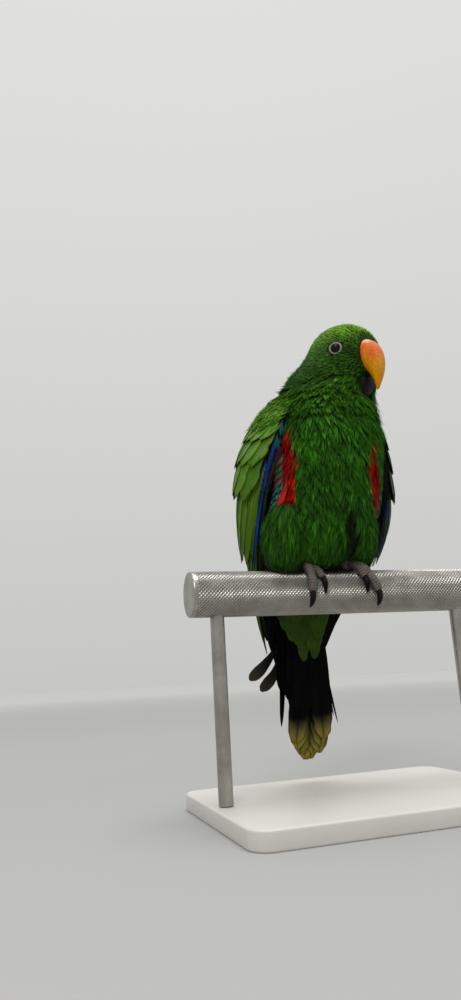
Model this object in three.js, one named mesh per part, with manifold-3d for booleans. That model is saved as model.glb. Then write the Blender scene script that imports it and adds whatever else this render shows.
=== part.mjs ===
// A male eclectus parrot, life size, gripping a short length of round tube on a plain display stand.
// Millimetres, +Z up. The bird faces -Y, its right side is -X, and the tube runs along X.
// The origin is the middle of the stand's underside. The bird itself is drawn from the tube's axis upwards.
import * as THREE from "three";
import { mergeVertices } from "three/addons/utils/BufferGeometryUtils.js";
import Module from "manifold-3d";

const wasm = await Module();
wasm.setup();

// Driving sizes
const perchHeight = 152; // tube axis above the floor
const perchRadius = 16;
const perchLength = 236;
const standSize = { x: 216, y: 164, z: 12, corner: 14 };
const rodRadius = 5;
const rodX = 98; // each rod from the middle
const gap = 0.3; // left between neighbouring nodes
const vaneThick = 0.6;

const V = (x, y, z) => new THREE.Vector3(x, y, z);
const mix = (a, b, k) => a + (b - a) * k;
const clamp01 = (k) => Math.min(1, Math.max(0, k));
const ease = (k) => clamp01(k) ** 2 * (3 - 2 * clamp01(k));
const rad = THREE.MathUtils.degToRad;

// A smooth curve through points, u from 0 to 1
function along(points, u) {
  const spans = points.length - 1;
  const i = Math.min(spans - 1, Math.max(0, Math.floor(u * spans)));
  const k = u * spans - i;
  const p1 = points[i];
  const p2 = points[i + 1];
  const p0 = points[i - 1] ?? p1.clone().multiplyScalar(2).sub(p2);
  const p3 = points[i + 2] ?? p2.clone().multiplyScalar(2).sub(p1);
  const curve = (a, b, c, d) =>
    0.5 * (2 * b + (c - a) * k + (2 * a - 5 * b + 4 * c - d) * k * k + (3 * b - a - 3 * c + d) * k ** 3);
  return V(curve(p0.x, p1.x, p2.x, p3.x), curve(p0.y, p1.y, p2.y, p3.y), curve(p0.z, p1.z, p2.z, p3.z));
}

// Pose of the head: its centre, and how far it turns to the bird's left, nods down and tips to its right
const headAt = V(12.6, -6, 184.5);
const headTurn = new THREE.Quaternion().setFromEuler(new THREE.Euler(rad(9), rad(-6), rad(24), "YXZ"));
const inHead = (x, y, z) => V(x, y, z).applyQuaternion(headTurn).add(headAt);

// Rounded masses that blend into the bird's feathered outline: centre, radii, and tilt about X
const bodyMasses = [
  { part: "neck", at: V(8, 3, 160), radii: V(31, 31, 27), tilt: 0 },
  { part: "hackles", at: V(4, 4, 142), radii: V(38, 35, 28), tilt: 0 },
  { part: "crop", at: V(0, -10, 120), radii: V(39, 31, 34), tilt: -8 },
  { part: "breast", at: V(-5, -6, 90), radii: V(42, 38, 44), tilt: -4 },
  { part: "belly", at: V(-12, -4, 54), radii: V(39, 34, 34), tilt: 6 },
  { part: "right flank", at: V(-28, -3, 44), radii: V(23, 24, 25), tilt: 0 },
  { part: "right shoulder", at: V(-22, 14, 136), radii: V(22, 22, 24), tilt: 0 },
  { part: "left shoulder", at: V(24, 14, 138), radii: V(16, 22, 22), tilt: 0 },
  { part: "mantle", at: V(-2, 20, 114), radii: V(36, 25, 40), tilt: 8 },
  { part: "back", at: V(-7, 24, 72), radii: V(33, 24, 48), tilt: 6 },
  { part: "rump", at: V(-11, 30, 26), radii: V(24, 15, 32), tilt: 10 },
];
const headMasses = [
  { part: "skull", at: V(0, 2, 3), radii: V(27, 28, 26), tilt: 0 },
  { part: "forehead", at: V(1, -13, 4), radii: V(22, 18, 21), tilt: 0 },
  { part: "right cheek", at: V(-9, -5, -15), radii: V(17, 19, 16), tilt: 0 },
  { part: "left cheek", at: V(9, -5, -15), radii: V(17, 19, 16), tilt: 0 },
];
const blend = 16; // how softly the masses run together
const masses = [
  ...bodyMasses.map((m) => ({
    ...m,
    turn: new THREE.Quaternion().setFromAxisAngle(V(1, 0, 0), rad(m.tilt)).invert(),
  })),
  ...headMasses.map((m) => ({ ...m, at: inHead(...m.at.toArray()), turn: headTurn.clone().invert() })),
];

// Roughly the distance outside the outline
function outside(p) {
  let nearest = Infinity;
  for (const m of masses) {
    const q = p.clone().sub(m.at).applyQuaternion(m.turn);
    const k0 = q.clone().divide(m.radii).length();
    const k1 = q.clone().divide(m.radii).divide(m.radii).length();
    const d = k1 < 1e-9 ? -Math.min(...m.radii.toArray()) : (k0 * (k0 - 1)) / k1;
    const share = Math.max(0, 1 - Math.abs(d - nearest) / blend);
    nearest = Math.min(d, nearest) - (share * share * blend) / 4;
  }
  return nearest;
}

// The line inside the bird that its outline is measured from, crown to vent
const spine = [
  headAt,
  V(10, 1, 164),
  V(4, 4, 142),
  V(-1, 4, 112),
  V(-6, 6, 80),
  V(-11, 11, 48),
  V(-11, 27, 20),
];
const crownShare = 0.2; // of the outline's length, the dome over the head
const ventShare = 0.12;

// Origin, axis and forward direction at v, from 0 on the crown to 1 at the vent
function bodyFrame(v) {
  const u = clamp01((v - crownShare) / (1 - crownShare - ventShare));
  const at = along(spine, u);
  const headUp = V(0, 0, 1).applyQuaternion(headTurn);
  const slope = along(spine, Math.max(0, u - 0.02)).sub(along(spine, Math.min(1, u + 0.02))).normalize();
  const up = headUp.lerp(slope, ease(u / 0.3)).normalize();
  const front = V(0, -1, 0).applyQuaternion(headTurn).lerp(V(0, -1, 0), ease(u / 0.42));
  front.addScaledVector(up, -front.dot(up)).normalize();
  return { at, up, front, side: up.clone().cross(front) };
}

// A point of the outline: v down the body, turn round it from the front through the bird's left side
function bodyPoint(v, turn, offset = 0) {
  const f = bodyFrame(v);
  const dome = v < crownShare ? 1 - v / crownShare : 0;
  const end = v > 1 - ventShare ? (v - 1 + ventShare) / ventShare : 0;
  const lift = ((dome - end) * Math.PI) / 2;
  const way = f.front.clone().multiplyScalar(Math.cos(turn)).addScaledVector(f.side, Math.sin(turn));
  way.multiplyScalar(Math.cos(lift)).addScaledVector(f.up, Math.sin(lift));
  let near = 0;
  let far = 4;
  while (outside(f.at.clone().addScaledVector(way, far)) < offset && far < 90) {
    near = far;
    far += 3;
  }
  for (let i = 0; i < 14; i++) {
    const half = (near + far) / 2;
    if (outside(f.at.clone().addScaledVector(way, half)) < offset) near = half;
    else far = half;
  }
  return f.at.clone().addScaledVector(way, near);
}

// A closed shell over a grid of rings, each ring a list of points, closed by a point at each end
function shell(rings, start, end) {
  const n = rings[0].length;
  const points = [start, ...rings.flat(), end];
  const last = points.length - 1;
  const at = (r, k) => 1 + r * n + (k % n);
  const faces = [];
  for (let k = 0; k < n; k++) {
    faces.push(0, at(0, k), at(0, k + 1));
    faces.push(last, at(rings.length - 1, k + 1), at(rings.length - 1, k));
    for (let r = 0; r + 1 < rings.length; r++) {
      faces.push(at(r, k), at(r + 1, k), at(r + 1, k + 1));
      faces.push(at(r, k), at(r + 1, k + 1), at(r, k + 1));
    }
  }
  const g = new THREE.BufferGeometry();
  g.setAttribute("position", new THREE.Float32BufferAttribute(points.flatMap((p) => p.toArray()), 3));
  g.setIndex(faces);
  return g;
}

const middle = (ring) => ring.reduce((a, p) => a.add(p), V(0, 0, 0)).divideScalar(ring.length);
const tube = (rings) => shell(rings, middle(rings[0]), middle(rings.at(-1)));

// A three.js geometry as a solid that can be joined and cut, always facing out
function solid(geometry) {
  const bare = geometry.clone();
  bare.deleteAttribute("normal");
  bare.deleteAttribute("uv");
  const g = mergeVertices(bare, 1e-4);
  const make = (triVerts) =>
    new wasm.Manifold(new wasm.Mesh({ numProp: 3, vertProperties: g.attributes.position.array, triVerts }));
  const triVerts = new Uint32Array(g.index.array);
  const made = make(triVerts);
  return made.volume() > 0 ? made : make(triVerts.reverse());
}

// The largest closed body of a solid, as a geometry
function geometryOf(made) {
  const body = made.decompose().sort((a, b) => b.volume() - a.volume())[0];
  const mesh = body.getMesh();
  const g = new THREE.BufferGeometry();
  g.setAttribute("position", new THREE.BufferAttribute(new Float32Array(mesh.vertProperties), 3));
  g.setIndex(new THREE.BufferAttribute(new Uint32Array(mesh.triVerts), 1));
  return g;
}

const joined = (list) => list.reduce((a, b) => a.add(b));

// The whole outline as one solid, grown by offset
function bodySolid(offset, ringCount = 32, sides = 27) {
  const rings = [];
  for (let r = 1; r < ringCount; r++) {
    const ring = [];
    for (let k = 0; k < sides; k++) ring.push(bodyPoint(r / ringCount, (2 * Math.PI * k) / sides, offset));
    rings.push(ring);
  }
  return solid(shell(rings, bodyPoint(0, 0, offset), bodyPoint(1, 0, offset)));
}

// A closed round tube of changing radius along a path
function taperedTube(points, radii, sides, steps, flat = 1) {
  const rings = [];
  for (let i = 0; i <= steps; i++) {
    const u = i / steps;
    const at = along(points, u);
    const way = along(points, Math.min(1, u + 0.02)).sub(along(points, Math.max(0, u - 0.02))).normalize();
    const side = V(1, 0, 0).addScaledVector(way, -way.x).normalize();
    const up = way.clone().cross(side);
    const radius = along(radii.map((r) => V(r, 0, 0)), u).x;
    rings.push(
      Array.from({ length: sides }, (_, k) => {
        const a = (2 * Math.PI * k) / sides;
        return at
          .clone()
          .addScaledVector(side, radius * Math.cos(a))
          .addScaledVector(up, radius * flat * Math.sin(a));
      }),
    );
  }
  return tube(rings);
}

// How wide a vane is along its length, as shares of its half width from root to tip
const vaneShape = [0.45, 0.85, 1, 1, 0.8, 0.28];
const tailShape = [0.5, 0.8, 1, 1, 0.96, 0.5];

function shapeAt(shape, u) {
  const place = u * (shape.length - 1);
  const i = Math.min(shape.length - 2, Math.floor(place));
  return mix(shape[i], shape[i + 1], place - i);
}

// A thin closed leaf: each ring goes over its upper face and back under it, both with the same diagonals
function leaf(rings) {
  const n = rings[0].length;
  const half = n / 2;
  const faces = [];
  const quad = (a, b, c, d) => faces.push(a, b, c, a, c, d);
  const at = (r, k) => r * n + (k % n);
  for (let r = 0; r + 1 < rings.length; r++) {
    for (let k = 0; k + 1 < half; k++) {
      const under = n - 1 - k;
      quad(at(r, k), at(r + 1, k), at(r + 1, k + 1), at(r, k + 1));
      quad(at(r, under), at(r, under - 1), at(r + 1, under - 1), at(r + 1, under));
    }
    quad(at(r, half - 1), at(r + 1, half - 1), at(r + 1, half), at(r, half));
    quad(at(r, n - 1), at(r + 1, n - 1), at(r + 1, 0), at(r, 0));
  }
  const last = rings.length - 1;
  for (let k = 0; k + 1 < half; k++) {
    const under = n - 1 - k;
    quad(at(0, k), at(0, k + 1), at(0, under - 1), at(0, under));
    quad(at(last, k + 1), at(last, k), at(last, under), at(last, under - 1));
  }
  const g = new THREE.BufferGeometry();
  g.setAttribute("position", new THREE.Float32BufferAttribute(rings.flat().flatMap((p) => p.toArray()), 3));
  g.setIndex(faces);
  return g;
}

// Wings: each outer face is guided by three lines from the bend of the wing to its tip
const wingLines = {
  right: {
    front: [
      V(-44, -15, 134), V(-58, -17, 100), V(-65, -6, 62),
      V(-62, 14, 22), V(-49, 43, -24), V(-32, 59, -74),
    ],
    crest: [
      V(-51, 13, 146), V(-71, 16, 106), V(-74, 22, 64),
      V(-63, 36, 24), V(-46, 54, -22), V(-25, 66, -74),
    ],
    back: [
      V(-34, 36, 152), V(-29, 52, 114), V(-26, 58, 70),
      V(-24, 61, 26), V(-22, 65, -22), V(-14, 69, -70),
    ],
  },
  left: {
    front: [
      V(40, -14, 134), V(46, -13, 100), V(46, -4, 62),
      V(38, 18, 22), V(15, 47, -24), V(0, 60, -74),
    ],
    crest: [
      V(46, 12, 148), V(53, 16, 106), V(55, 22, 64),
      V(43, 38, 24), V(13, 58, -22), V(-7, 67, -74),
    ],
    back: [
      V(31, 37, 152), V(22, 53, 114), V(12, 58, 70),
      V(5, 62, 26), V(-6, 67, -22), V(-18, 70, -70),
    ],
  },
};

// A point on the wing's outer face: s from bend to tip, t from its front edge to the one on the back
function wingPoint(lines, s, t, height = 0) {
  const place = (ss, tt) => {
    const f = along(lines.front, ss);
    const b = along(lines.back, ss);
    const pull = along(lines.crest, ss).multiplyScalar(2).addScaledVector(f, -0.5).addScaledVector(b, -0.5);
    f.multiplyScalar((1 - tt) ** 2);
    return f.addScaledVector(pull, 2 * tt * (1 - tt)).addScaledVector(b, tt * tt);
  };
  const at = place(s, t);
  const across = place(s, t + 0.01).sub(place(s, t - 0.01));
  const normal = across.cross(place(s + 0.01, t).sub(place(s - 0.01, t))).normalize();
  const out = lines === wingLines.left ? -1 : 1;
  normal.multiplyScalar(out);
  return { at: at.addScaledVector(normal, height), normal };
}

// Rows of wing feathers, the innermost layer first. Root and tip give [s, t] of the first and last feather
const wingRows = [
  {
    name: "primary",
    count: 5,
    root: [[0.27, 0.1], [0.32, 0.44]],
    tip: [[1, 0.24], [0.92, 0.86]],
    steps: 6,
    wide: 8,
    slope: 9,
    sink: 4.4,
  },
  {
    name: "secondary",
    count: 5,
    root: [[0.25, 0.28], [0.22, 0.94]],
    tip: [[0.8, 0.44], [0.77, 0.94]],
    steps: 4,
    wide: 10.6,
    slope: 15,
    sink: 0,
  },
  {
    name: "primary covert",
    count: 3,
    root: [[0.12, 0.06], [0.14, 0.24]],
    tip: [[0.5, 0.08], [0.47, 0.3]],
    steps: 3,
    wide: 6.4,
    slope: 17,
    sink: 0,
  },
  {
    name: "greater covert",
    count: 5,
    root: [[0.13, 0.24], [0.11, 0.94]],
    tip: [[0.5, 0.36], [0.46, 0.94]],
    steps: 3,
    wide: 10.6,
    slope: 17,
    sink: 0,
  },
  {
    name: "median covert",
    count: 5,
    root: [[0.04, 0.12], [0.03, 0.93]],
    tip: [[0.32, 0.13], [0.31, 0.93]],
    steps: 3,
    wide: 11.4,
    slope: 17,
    sink: 0,
  },
  {
    name: "lesser covert",
    count: 4,
    root: [[-0.03, 0.14], [-0.04, 0.9]],
    tip: [[0.17, 0.15], [0.17, 0.9]],
    steps: 3,
    wide: 14,
    slope: 17,
    sink: 0,
  },
];
const lap = 1; // from one feather's face to its neighbour's

// Each feather's front edge rides over the one before it, and its hind edge dips under the next. A sunk row
// is moved inward as one, so that it doesn't fold where the face turns sharply
function wingFeather(lines, row, i) {
  const pick = (end, j, k) => mix(row[end][0][j], row[end][1][j], k / (row.count - 1));
  const { steps } = row;
  const sides = row.sink ? [-1, 1] : [-1, 0, 1];
  const faces = [...sides.map((side) => [side, 1]), ...sides.map((side) => [-side, -1])];
  const rings = [];
  for (let j = 0; j <= steps; j++) {
    const u = j / steps;
    const s = mix(pick("root", 0, i), pick("tip", 0, i), u);
    const tOf = (k) => mix(pick("root", 1, k), pick("tip", 1, k), u);
    const spacing = tOf(i + 1) - tOf(i);
    const ahead = wingPoint(lines, s, tOf(i) - 0.01).at;
    const across = wingPoint(lines, s, tOf(i) + 0.01).at.distanceTo(ahead) / 0.02;
    const reach = (row.wide * shapeAt(vaneShape, u)) / across;
    const rise = (s - pick("tip", 0, 0)) * row.slope - row.sink - 2.6 * (1 - ease(u * 3));
    const inward = wingPoint(lines, s, 0.5).normal.multiplyScalar(row.sink ? rise : 0);
    const ring = [];
    for (const [side, face] of faces) {
      const height = (row.sink ? 0 : rise) - (lap * side * reach) / spacing + (face * vaneThick) / 2;
      ring.push(wingPoint(lines, s, tOf(i) + side * reach, height).at.add(inward));
    }
    rings.push(ring);
  }
  return solid(leaf(rings));
}

// The folded arm and hand under the coverts
function wingCore(lines) {
  const rings = [];
  const steps = 9;
  const across = [0.02, 0.26, 0.5, 0.74, 0.97];
  for (let i = 0; i <= steps; i++) {
    const s = mix(-0.03, 0.44, i / steps);
    const plump = Math.sin(Math.PI * mix(0.12, 0.97, i / steps)) ** 0.6;
    const skin = -4.4 - 8 * Math.max(0, s) - 2.5 * (1 - plump);
    const ring = [];
    for (const t of across) ring.push(wingPoint(lines, s, t, skin).at);
    for (const t of [...across].reverse()) {
      const depth = 1.5 + 20 * plump * Math.sin(Math.PI * mix(0.16, 0.84, t));
      ring.push(wingPoint(lines, s, t, skin - depth).at);
    }
    rings.push(ring);
  }
  return solid(leaf(rings));
}

// Old brown feathers that stick out behind the right wing's tip: place on the wing, tip and half width
const strays = [
  { s: 0.86, t: 0.5, to: V(-55, 62, -61), halfWidth: 4.5 },
  { s: 0.89, t: 0.66, to: V(-45, 65, -70), halfWidth: 4.5 },
];
const strayShape = [0.35, 0.8, 1, 0.4];

function stray(lines, { s: along, t, to, halfWidth }) {
  const from = wingPoint(lines, along, t, -9).at;
  const way = to.clone().sub(from).normalize();
  const normal = V(0, 1, 0).addScaledVector(way, -way.y).normalize();
  const side = way.clone().cross(normal);
  const rings = [0, 0.35, 0.75, 1].map((u, i) => {
    const at = from.clone().lerp(to, u);
    const reach = halfWidth * strayShape[i];
    const corner = (s, face) =>
      at.clone().addScaledVector(side, s * reach).addScaledVector(normal, (face * vaneThick) / 2);
    return [corner(-1, 1), corner(1, 1), corner(1, -1), corner(-1, -1)];
  });
  return solid(leaf(rings));
}

function wing(lines, keepOut) {
  const pieces = [wingCore(lines)];
  if (lines === wingLines.right) pieces.push(...strays.map((old) => stray(lines, old)));
  for (const row of wingRows) for (let i = 0; i < row.count; i++) pieces.push(wingFeather(lines, row, i));
  return joined(pieces).subtract(keepOut);
}

// Tail: feathers fan from one root and lie against each other
const tailRoot = V(-11, 35, 8);
const tailLength = 134;
const tailLean = rad(11.4); // back from upright
const tailFan = rad(7.2);
const tailBias = rad(-0.6); // the whole fan swings to one side

function tailFeather({ from, angle, start, length, halfWidth, layer, lean = tailLean }) {
  const down = V(-Math.sin(angle + tailBias), Math.sin(lean), -Math.cos(lean)).normalize();
  const normal = V(0, Math.cos(lean), Math.sin(lean));
  const side = down.clone().cross(normal).normalize();
  const rings = [];
  for (let j = 0; j <= 5; j++) {
    const at = from.clone().addScaledVector(down, mix(start, length, j / 5)).addScaledVector(normal, layer);
    const reach = halfWidth * shapeAt(tailShape, j / 5);
    const corner = (s, face) =>
      at.clone().addScaledVector(side, s * reach).addScaledVector(normal, (face * vaneThick) / 2);
    rings.push([corner(-1, 1), corner(1, 1), corner(1, -1), corner(-1, -1)]);
  }
  return solid(leaf(rings));
}

function tail(keepOut) {
  const pieces = [];
  const pairs = 5;
  for (let i = 0; i < pairs; i++) {
    for (const side of [-1, 1]) {
      const k = (i + 0.35) / pairs;
      const length = tailLength * (1 - 0.13 * k * k);
      const layer = 4 - 1.9 * i - (side > 0 ? 0.95 : 0);
      const angle = side * tailFan * k;
      pieces.push(tailFeather({ from: tailRoot, angle, start: 0, length, halfWidth: 9, layer }));
    }
  }
  for (const k of [-1, -0.5, 0, 0.5, 1]) {
    const from = tailRoot.clone().add(V(6 * k, 8, 4));
    const layer = k % 1 ? 1.2 : 0;
    const length = 50 - 10 * k * k;
    pieces.push(tailFeather({ from, angle: rad(3) * k, start: -4, length, halfWidth: 7.5, layer }));
  }
  const path = [V(-11, 33, 20), V(-11, 34, 4), V(-11, 37, -14), V(-11, 41, -32)];
  return joined([solid(taperedTube(path, [8, 11, 8, 3], 10, 5, 0.4)), ...pieces]).subtract(keepOut);
}

// The soft feathers under the tail hang in tiers and end in two lobes
const underRoot = V(-19, 24.6, 8);
const underRows = [
  { count: 5, spread: 17, length: 34, turn: 8, layer: 0 },
  { count: 4, spread: 12, length: 46, turn: 5, layer: 1.5 },
  { count: 2, spread: 6, length: 57, turn: 0, layer: 2.9 },
];

function undertail(keepOut) {
  const corePath = [V(-17, 27, 18), V(-19, 28, 4), V(-19, 29, -8), V(-19, 31, -20)];
  const pieces = [solid(taperedTube(corePath, [16, 18, 14, 6], 12, 5, 0.2))];
  for (const { count, spread, length, turn, layer } of underRows) {
    for (let i = 0; i < count; i++) {
      const k = mix(-1, 1, i / (count - 1));
      const from = underRoot.clone().add(V(spread * k, 0, 0));
      const place = { from, angle: rad(turn) * k, start: 0, lean: rad(11), layer: layer + 0.95 * (i % 2) };
      pieces.push(tailFeather({ ...place, length, halfWidth: 7 }));
    }
  }
  return joined(pieces).subtract(keepOut);
}

// Upper bill: pairs of points down the ridge and the cutting edge, in the head's own frame, with half widths
const upperBill = [
  { ridge: V(0, -18, 15), edge: V(0, -16, -11), half: 10.4 },
  { ridge: V(0, -28, 14), edge: V(0, -22, -12), half: 11.6 },
  { ridge: V(0, -36, 9.5), edge: V(0, -28, -13), half: 11 },
  { ridge: V(0, -41.5, 1.5), edge: V(0, -32, -16), half: 9.8 },
  { ridge: V(0, -44, -8.5), edge: V(0, -34.5, -20), half: 7.8 },
  { ridge: V(0, -43.5, -18), edge: V(0, -37, -24.5), half: 5 },
  { ridge: V(0, -40, -27.5), edge: V(0, -38, -29.5), half: 1.8 },
];
const lowerBill = [
  { ridge: V(0, -10, -13), edge: V(0, -9, -27), half: 9.4 },
  { ridge: V(0, -18, -14), edge: V(0, -16, -33), half: 10.2 },
  { ridge: V(0, -25, -16.5), edge: V(0, -24, -34), half: 9.2 },
  { ridge: V(0, -31.5, -21), edge: V(0, -30, -31), half: 5.6 },
];

function billHalf(stations, flatTop) {
  const sides = 14;
  const rings = stations.map((s) => {
    const mid = s.ridge.clone().add(s.edge).multiplyScalar(0.5);
    const half = s.ridge.clone().sub(s.edge).multiplyScalar(0.5);
    return Array.from({ length: sides }, (_, k) => {
      const a = (2 * Math.PI * k) / sides;
      const c = Math.cos(a);
      const h = flatTop && c > 0 ? 0.72 * c : c;
      const p = mid.clone().addScaledVector(half, h);
      p.x = s.half * Math.sign(Math.sin(a)) * Math.abs(Math.sin(a)) ** 0.85;
      return inHead(...p.toArray());
    });
  });
  return tube(rings);
}

// Eyes: placed on the head's surface, set in by their depth
const eyeRadius = 5.4;
const eyeInset = 3.5;
const eyeLook = (sign) => V(sign * 0.93, -0.36, 0.12);

function eyePlace(sign) {
  const way = eyeLook(sign).normalize().applyQuaternion(headTurn);
  const from = inHead(0, -7, 4);
  let far = 10;
  while (outside(from.clone().addScaledVector(way, far)) < 0) far += 0.1;
  return { surface: from.clone().addScaledVector(way, far), way };
}

function ball(at, radius, width, height) {
  return new THREE.SphereGeometry(radius, width, height).translate(...at.toArray());
}

function lid(place) {
  const g = new THREE.TorusGeometry(4.6, 1, 6, 16);
  g.applyQuaternion(new THREE.Quaternion().setFromUnitVectors(V(0, 0, 1), place.way));
  const at = place.surface.clone().addScaledVector(place.way, 0.25);
  return g.translate(...at.toArray());
}

// Legs: each thigh is a plume of feathers, each foot grips with two toes in front and two behind
const legs = [
  {
    name: "right",
    palmX: -30,
    toeShift: { outerFront: -2, innerFront: 8, outerBack: -9, innerBack: 6 },
    plume: [V(-38, -8, 62), V(-44, -12, 46), V(-46, -12, 32), V(-44, -8, 23)],
    plumeRadii: [14, 16, 12, 5],
  },
  {
    name: "left",
    palmX: 7,
    toeShift: { outerFront: 14, innerFront: 5, outerBack: 12, innerBack: -5 },
    plume: [V(14, -14, 62), V(17, -18, 48), V(18, -17, 36), V(19, -11, 25)],
    plumeRadii: [9, 12, 10, 4.5],
  },
];
const toes = [
  { name: "outerFront", sweep: 96, claw: 36, radius: 3.5 },
  { name: "innerFront", sweep: 66, claw: 32, radius: 3.1 },
  { name: "outerBack", sweep: -92, claw: -36, radius: 3.4 },
  { name: "innerBack", sweep: -58, claw: -32, radius: 3.1 },
];

// A point on the tube's surface: angle forwards from its top, and height above it
const onPerch = (x, angle, height) => {
  const r = perchRadius + height;
  return V(x, -r * Math.sin(rad(angle)), r * Math.cos(rad(angle)));
};

function toePath(leg, toe) {
  const shift = leg.toeShift[toe.name];
  return [0, 0.25, 0.5, 0.75, 1].map((u) =>
    onPerch(leg.palmX + shift * u, toe.sweep * u, gap + toe.radius * mix(1.15, 1, u) + 1.2 * (1 - u)),
  );
}

function foot(leg, grow = 0) {
  const palm = ball(V(leg.palmX, 0, perchRadius + 5.4), 5.2 + grow, 10, 7);
  const shinPath = [V(leg.palmX, 1, 21), V(leg.palmX - 1, 3, 28), V(leg.palmX - 2, 5, 36 + grow)];
  const shin = taperedTube(shinPath, [4.4, 3.8, 4.4].map((r) => r + grow), 10, 4);
  const pieces = [solid(palm), solid(shin)];
  for (const toe of toes) {
    const swell = [1.15, 1, 1.08, 0.92, 1.02, 0.8].map((k) => k * toe.radius + grow);
    pieces.push(solid(taperedTube(toePath(leg, toe), swell, 8, 8)));
  }
  return joined(pieces);
}

// A claw starts just off its toe's blunt end and curves back to the tube
function clawOf(leg, toe) {
  const end = leg.palmX + leg.toeShift[toe.name];
  const drift = leg.toeShift[toe.name] * 0.1;
  const side = Math.sign(toe.sweep);
  const start = toe.sweep + (side * 180 * gap) / (Math.PI * (perchRadius + toe.radius));
  const path = [0, 0.33, 0.67, 1].map((u) =>
    onPerch(
      end + drift * u,
      start + toe.claw * u,
      mix(toe.radius + gap, 1.4, u) + 1.5 * Math.sin(Math.PI * u),
    ),
  );
  return solid(taperedTube(path, [2.2, 2, 1.4, 0.5], 7, 5));
}

const thigh = (leg) => solid(taperedTube(leg.plume, leg.plumeRadii, 14, 7));

// Stand
function slab() {
  const { x, y, z, corner } = standSize;
  const w = x / 2 - corner;
  const d = y / 2 - corner;
  const outline = new THREE.Shape();
  outline.absarc(w, d, corner, 0, Math.PI / 2);
  outline.absarc(-w, d, corner, Math.PI / 2, Math.PI);
  outline.absarc(-w, -d, corner, Math.PI, 1.5 * Math.PI);
  outline.absarc(w, -d, corner, 1.5 * Math.PI, 2 * Math.PI);
  return new THREE.ExtrudeGeometry(outline, { depth: z, bevelEnabled: false, curveSegments: 8 });
}

function rod(x) {
  const low = standSize.z + gap - perchHeight;
  const high = -perchRadius * 0.8;
  const g = new THREE.CylinderGeometry(rodRadius, rodRadius, high - low, 24);
  g.rotateX(Math.PI / 2).translate(x, 0, (low + high) / 2);
  return g;
}

const round = (radius, length) => new THREE.CylinderGeometry(radius, radius, length, 40).rotateZ(Math.PI / 2);

// Assembly
const looks = {
  green: { color: 0x2f7a1c, roughness: 0.75 },
  dark: { color: 0x15151c, roughness: 0.6 },
  bill: { color: 0xe8802a, roughness: 0.35 },
  black: { color: 0x222226, roughness: 0.4 },
  skin: { color: 0x5c524f, roughness: 0.8 },
  eye: { color: 0x0c0c10, roughness: 0.08 },
  lid: { color: 0x9a9496, roughness: 0.7 },
  steel: { color: 0xb9b6b0, roughness: 0.32, metalness: 1 },
  base: { color: 0xd9d6cf, roughness: 0.55 },
};
const materials = Object.fromEntries(
  Object.entries(looks).map(([name, look]) => [name, new THREE.MeshStandardMaterial(look)]),
);
const bird = new THREE.Group();
bird.position.set(0, 0, perchHeight);

function add(name, made, look) {
  const g = made instanceof THREE.BufferGeometry ? made : geometryOf(made);
  const mesh = new THREE.Mesh(g, materials[look]);
  mesh.name = name;
  bird.add(mesh);
}

const body = bodySolid(0);
const nearBody = bodySolid(gap);
const perch = solid(round(perchRadius, perchLength));

// The head leaves the neck, and the neck the body, at thin cuts across the spine
const cuts = [bodyFrame(0.36), bodyFrame(0.53)];

// What of a solid lies beyond a cut: above it where sign is 1, below where it is -1
function beyond(made, frame, sign) {
  const block = 300;
  const box = new THREE.BoxGeometry(block, block, block).translate(0, 0, block / 2 + gap / 2);
  const way = frame.up.clone().multiplyScalar(sign);
  box.applyQuaternion(new THREE.Quaternion().setFromUnitVectors(V(0, 0, 1), way));
  return made.intersect(solid(box.translate(...frame.at.toArray())));
}

const eyes = [-1, 1].map(eyePlace);
const sockets = eyes.map((e) => {
  const middle = e.surface.clone().addScaledVector(e.way, -eyeInset);
  return solid(ball(middle, eyeRadius + gap, 16, 10));
});
const beaks = [billHalf(upperBill, false), billHalf(lowerBill, true)].map(solid);
const nostrils = [-1, 1].map((side) => solid(ball(inHead(side * 4.6, -27.5, 10.5), 1.3, 8, 6)));
const head = body.subtract(joined(sockets));
add("head", beyond(head, cuts[0], 1), "green");
add("neck", beyond(beyond(body, cuts[0], -1), cuts[1], 1), "green");

const thighs = legs.map(thigh);
const feet = legs.map((leg) => foot(leg));
const nearFeet = joined(legs.map((leg) => foot(leg, gap)));
const nearPerch = solid(round(perchRadius + gap, perchLength + 2));
add("torso", beyond(body, cuts[1], -1).subtract(nearFeet).subtract(nearPerch), "green");
add("bill_upper", beaks[0].subtract(nearBody).subtract(joined(nostrils)), "bill");
add("bill_lower", beaks[1].subtract(nearBody), "black");
eyes.forEach((e, i) => {
  const side = ["right", "left"][i];
  const at = e.surface.clone().addScaledVector(e.way, -eyeInset);
  add("eye_" + side, ball(at, eyeRadius, 16, 10), "eye");
  add("lid_" + side, solid(lid(e)).subtract(nearBody).subtract(sockets[i]), "lid");
});
legs.forEach((leg, i) => {
  add("thigh_" + leg.name, thighs[i].subtract(nearBody).subtract(nearPerch).subtract(nearFeet), "green");
  add("foot_" + leg.name, feet[i], "skin");
  for (const toe of toes) {
    add("claw_" + leg.name + "_" + toe.name, clawOf(leg, toe).subtract(nearFeet), "black");
  }
});
const keepOut = nearBody.add(nearPerch);
add("tail", tail(keepOut), "dark");
add("undertail_coverts", undertail(keepOut), "green");
add("wing_right", wing(wingLines.right, keepOut), "green");
add("wing_left", wing(wingLines.left, keepOut), "green");

const rods = [-rodX, rodX].map(rod);
add("perch", perch, "steel");
add("stand_rod_right", solid(rods[0]).subtract(nearPerch), "steel");
add("stand_rod_left", solid(rods[1]).subtract(nearPerch), "steel");
const base = slab().translate(0, 0, -perchHeight);
add("stand_base", base, "base");

export default bird;
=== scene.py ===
import itertools
import math

import bmesh
import bpy
import numpy as np
from mathutils import Matrix, Vector


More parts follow.
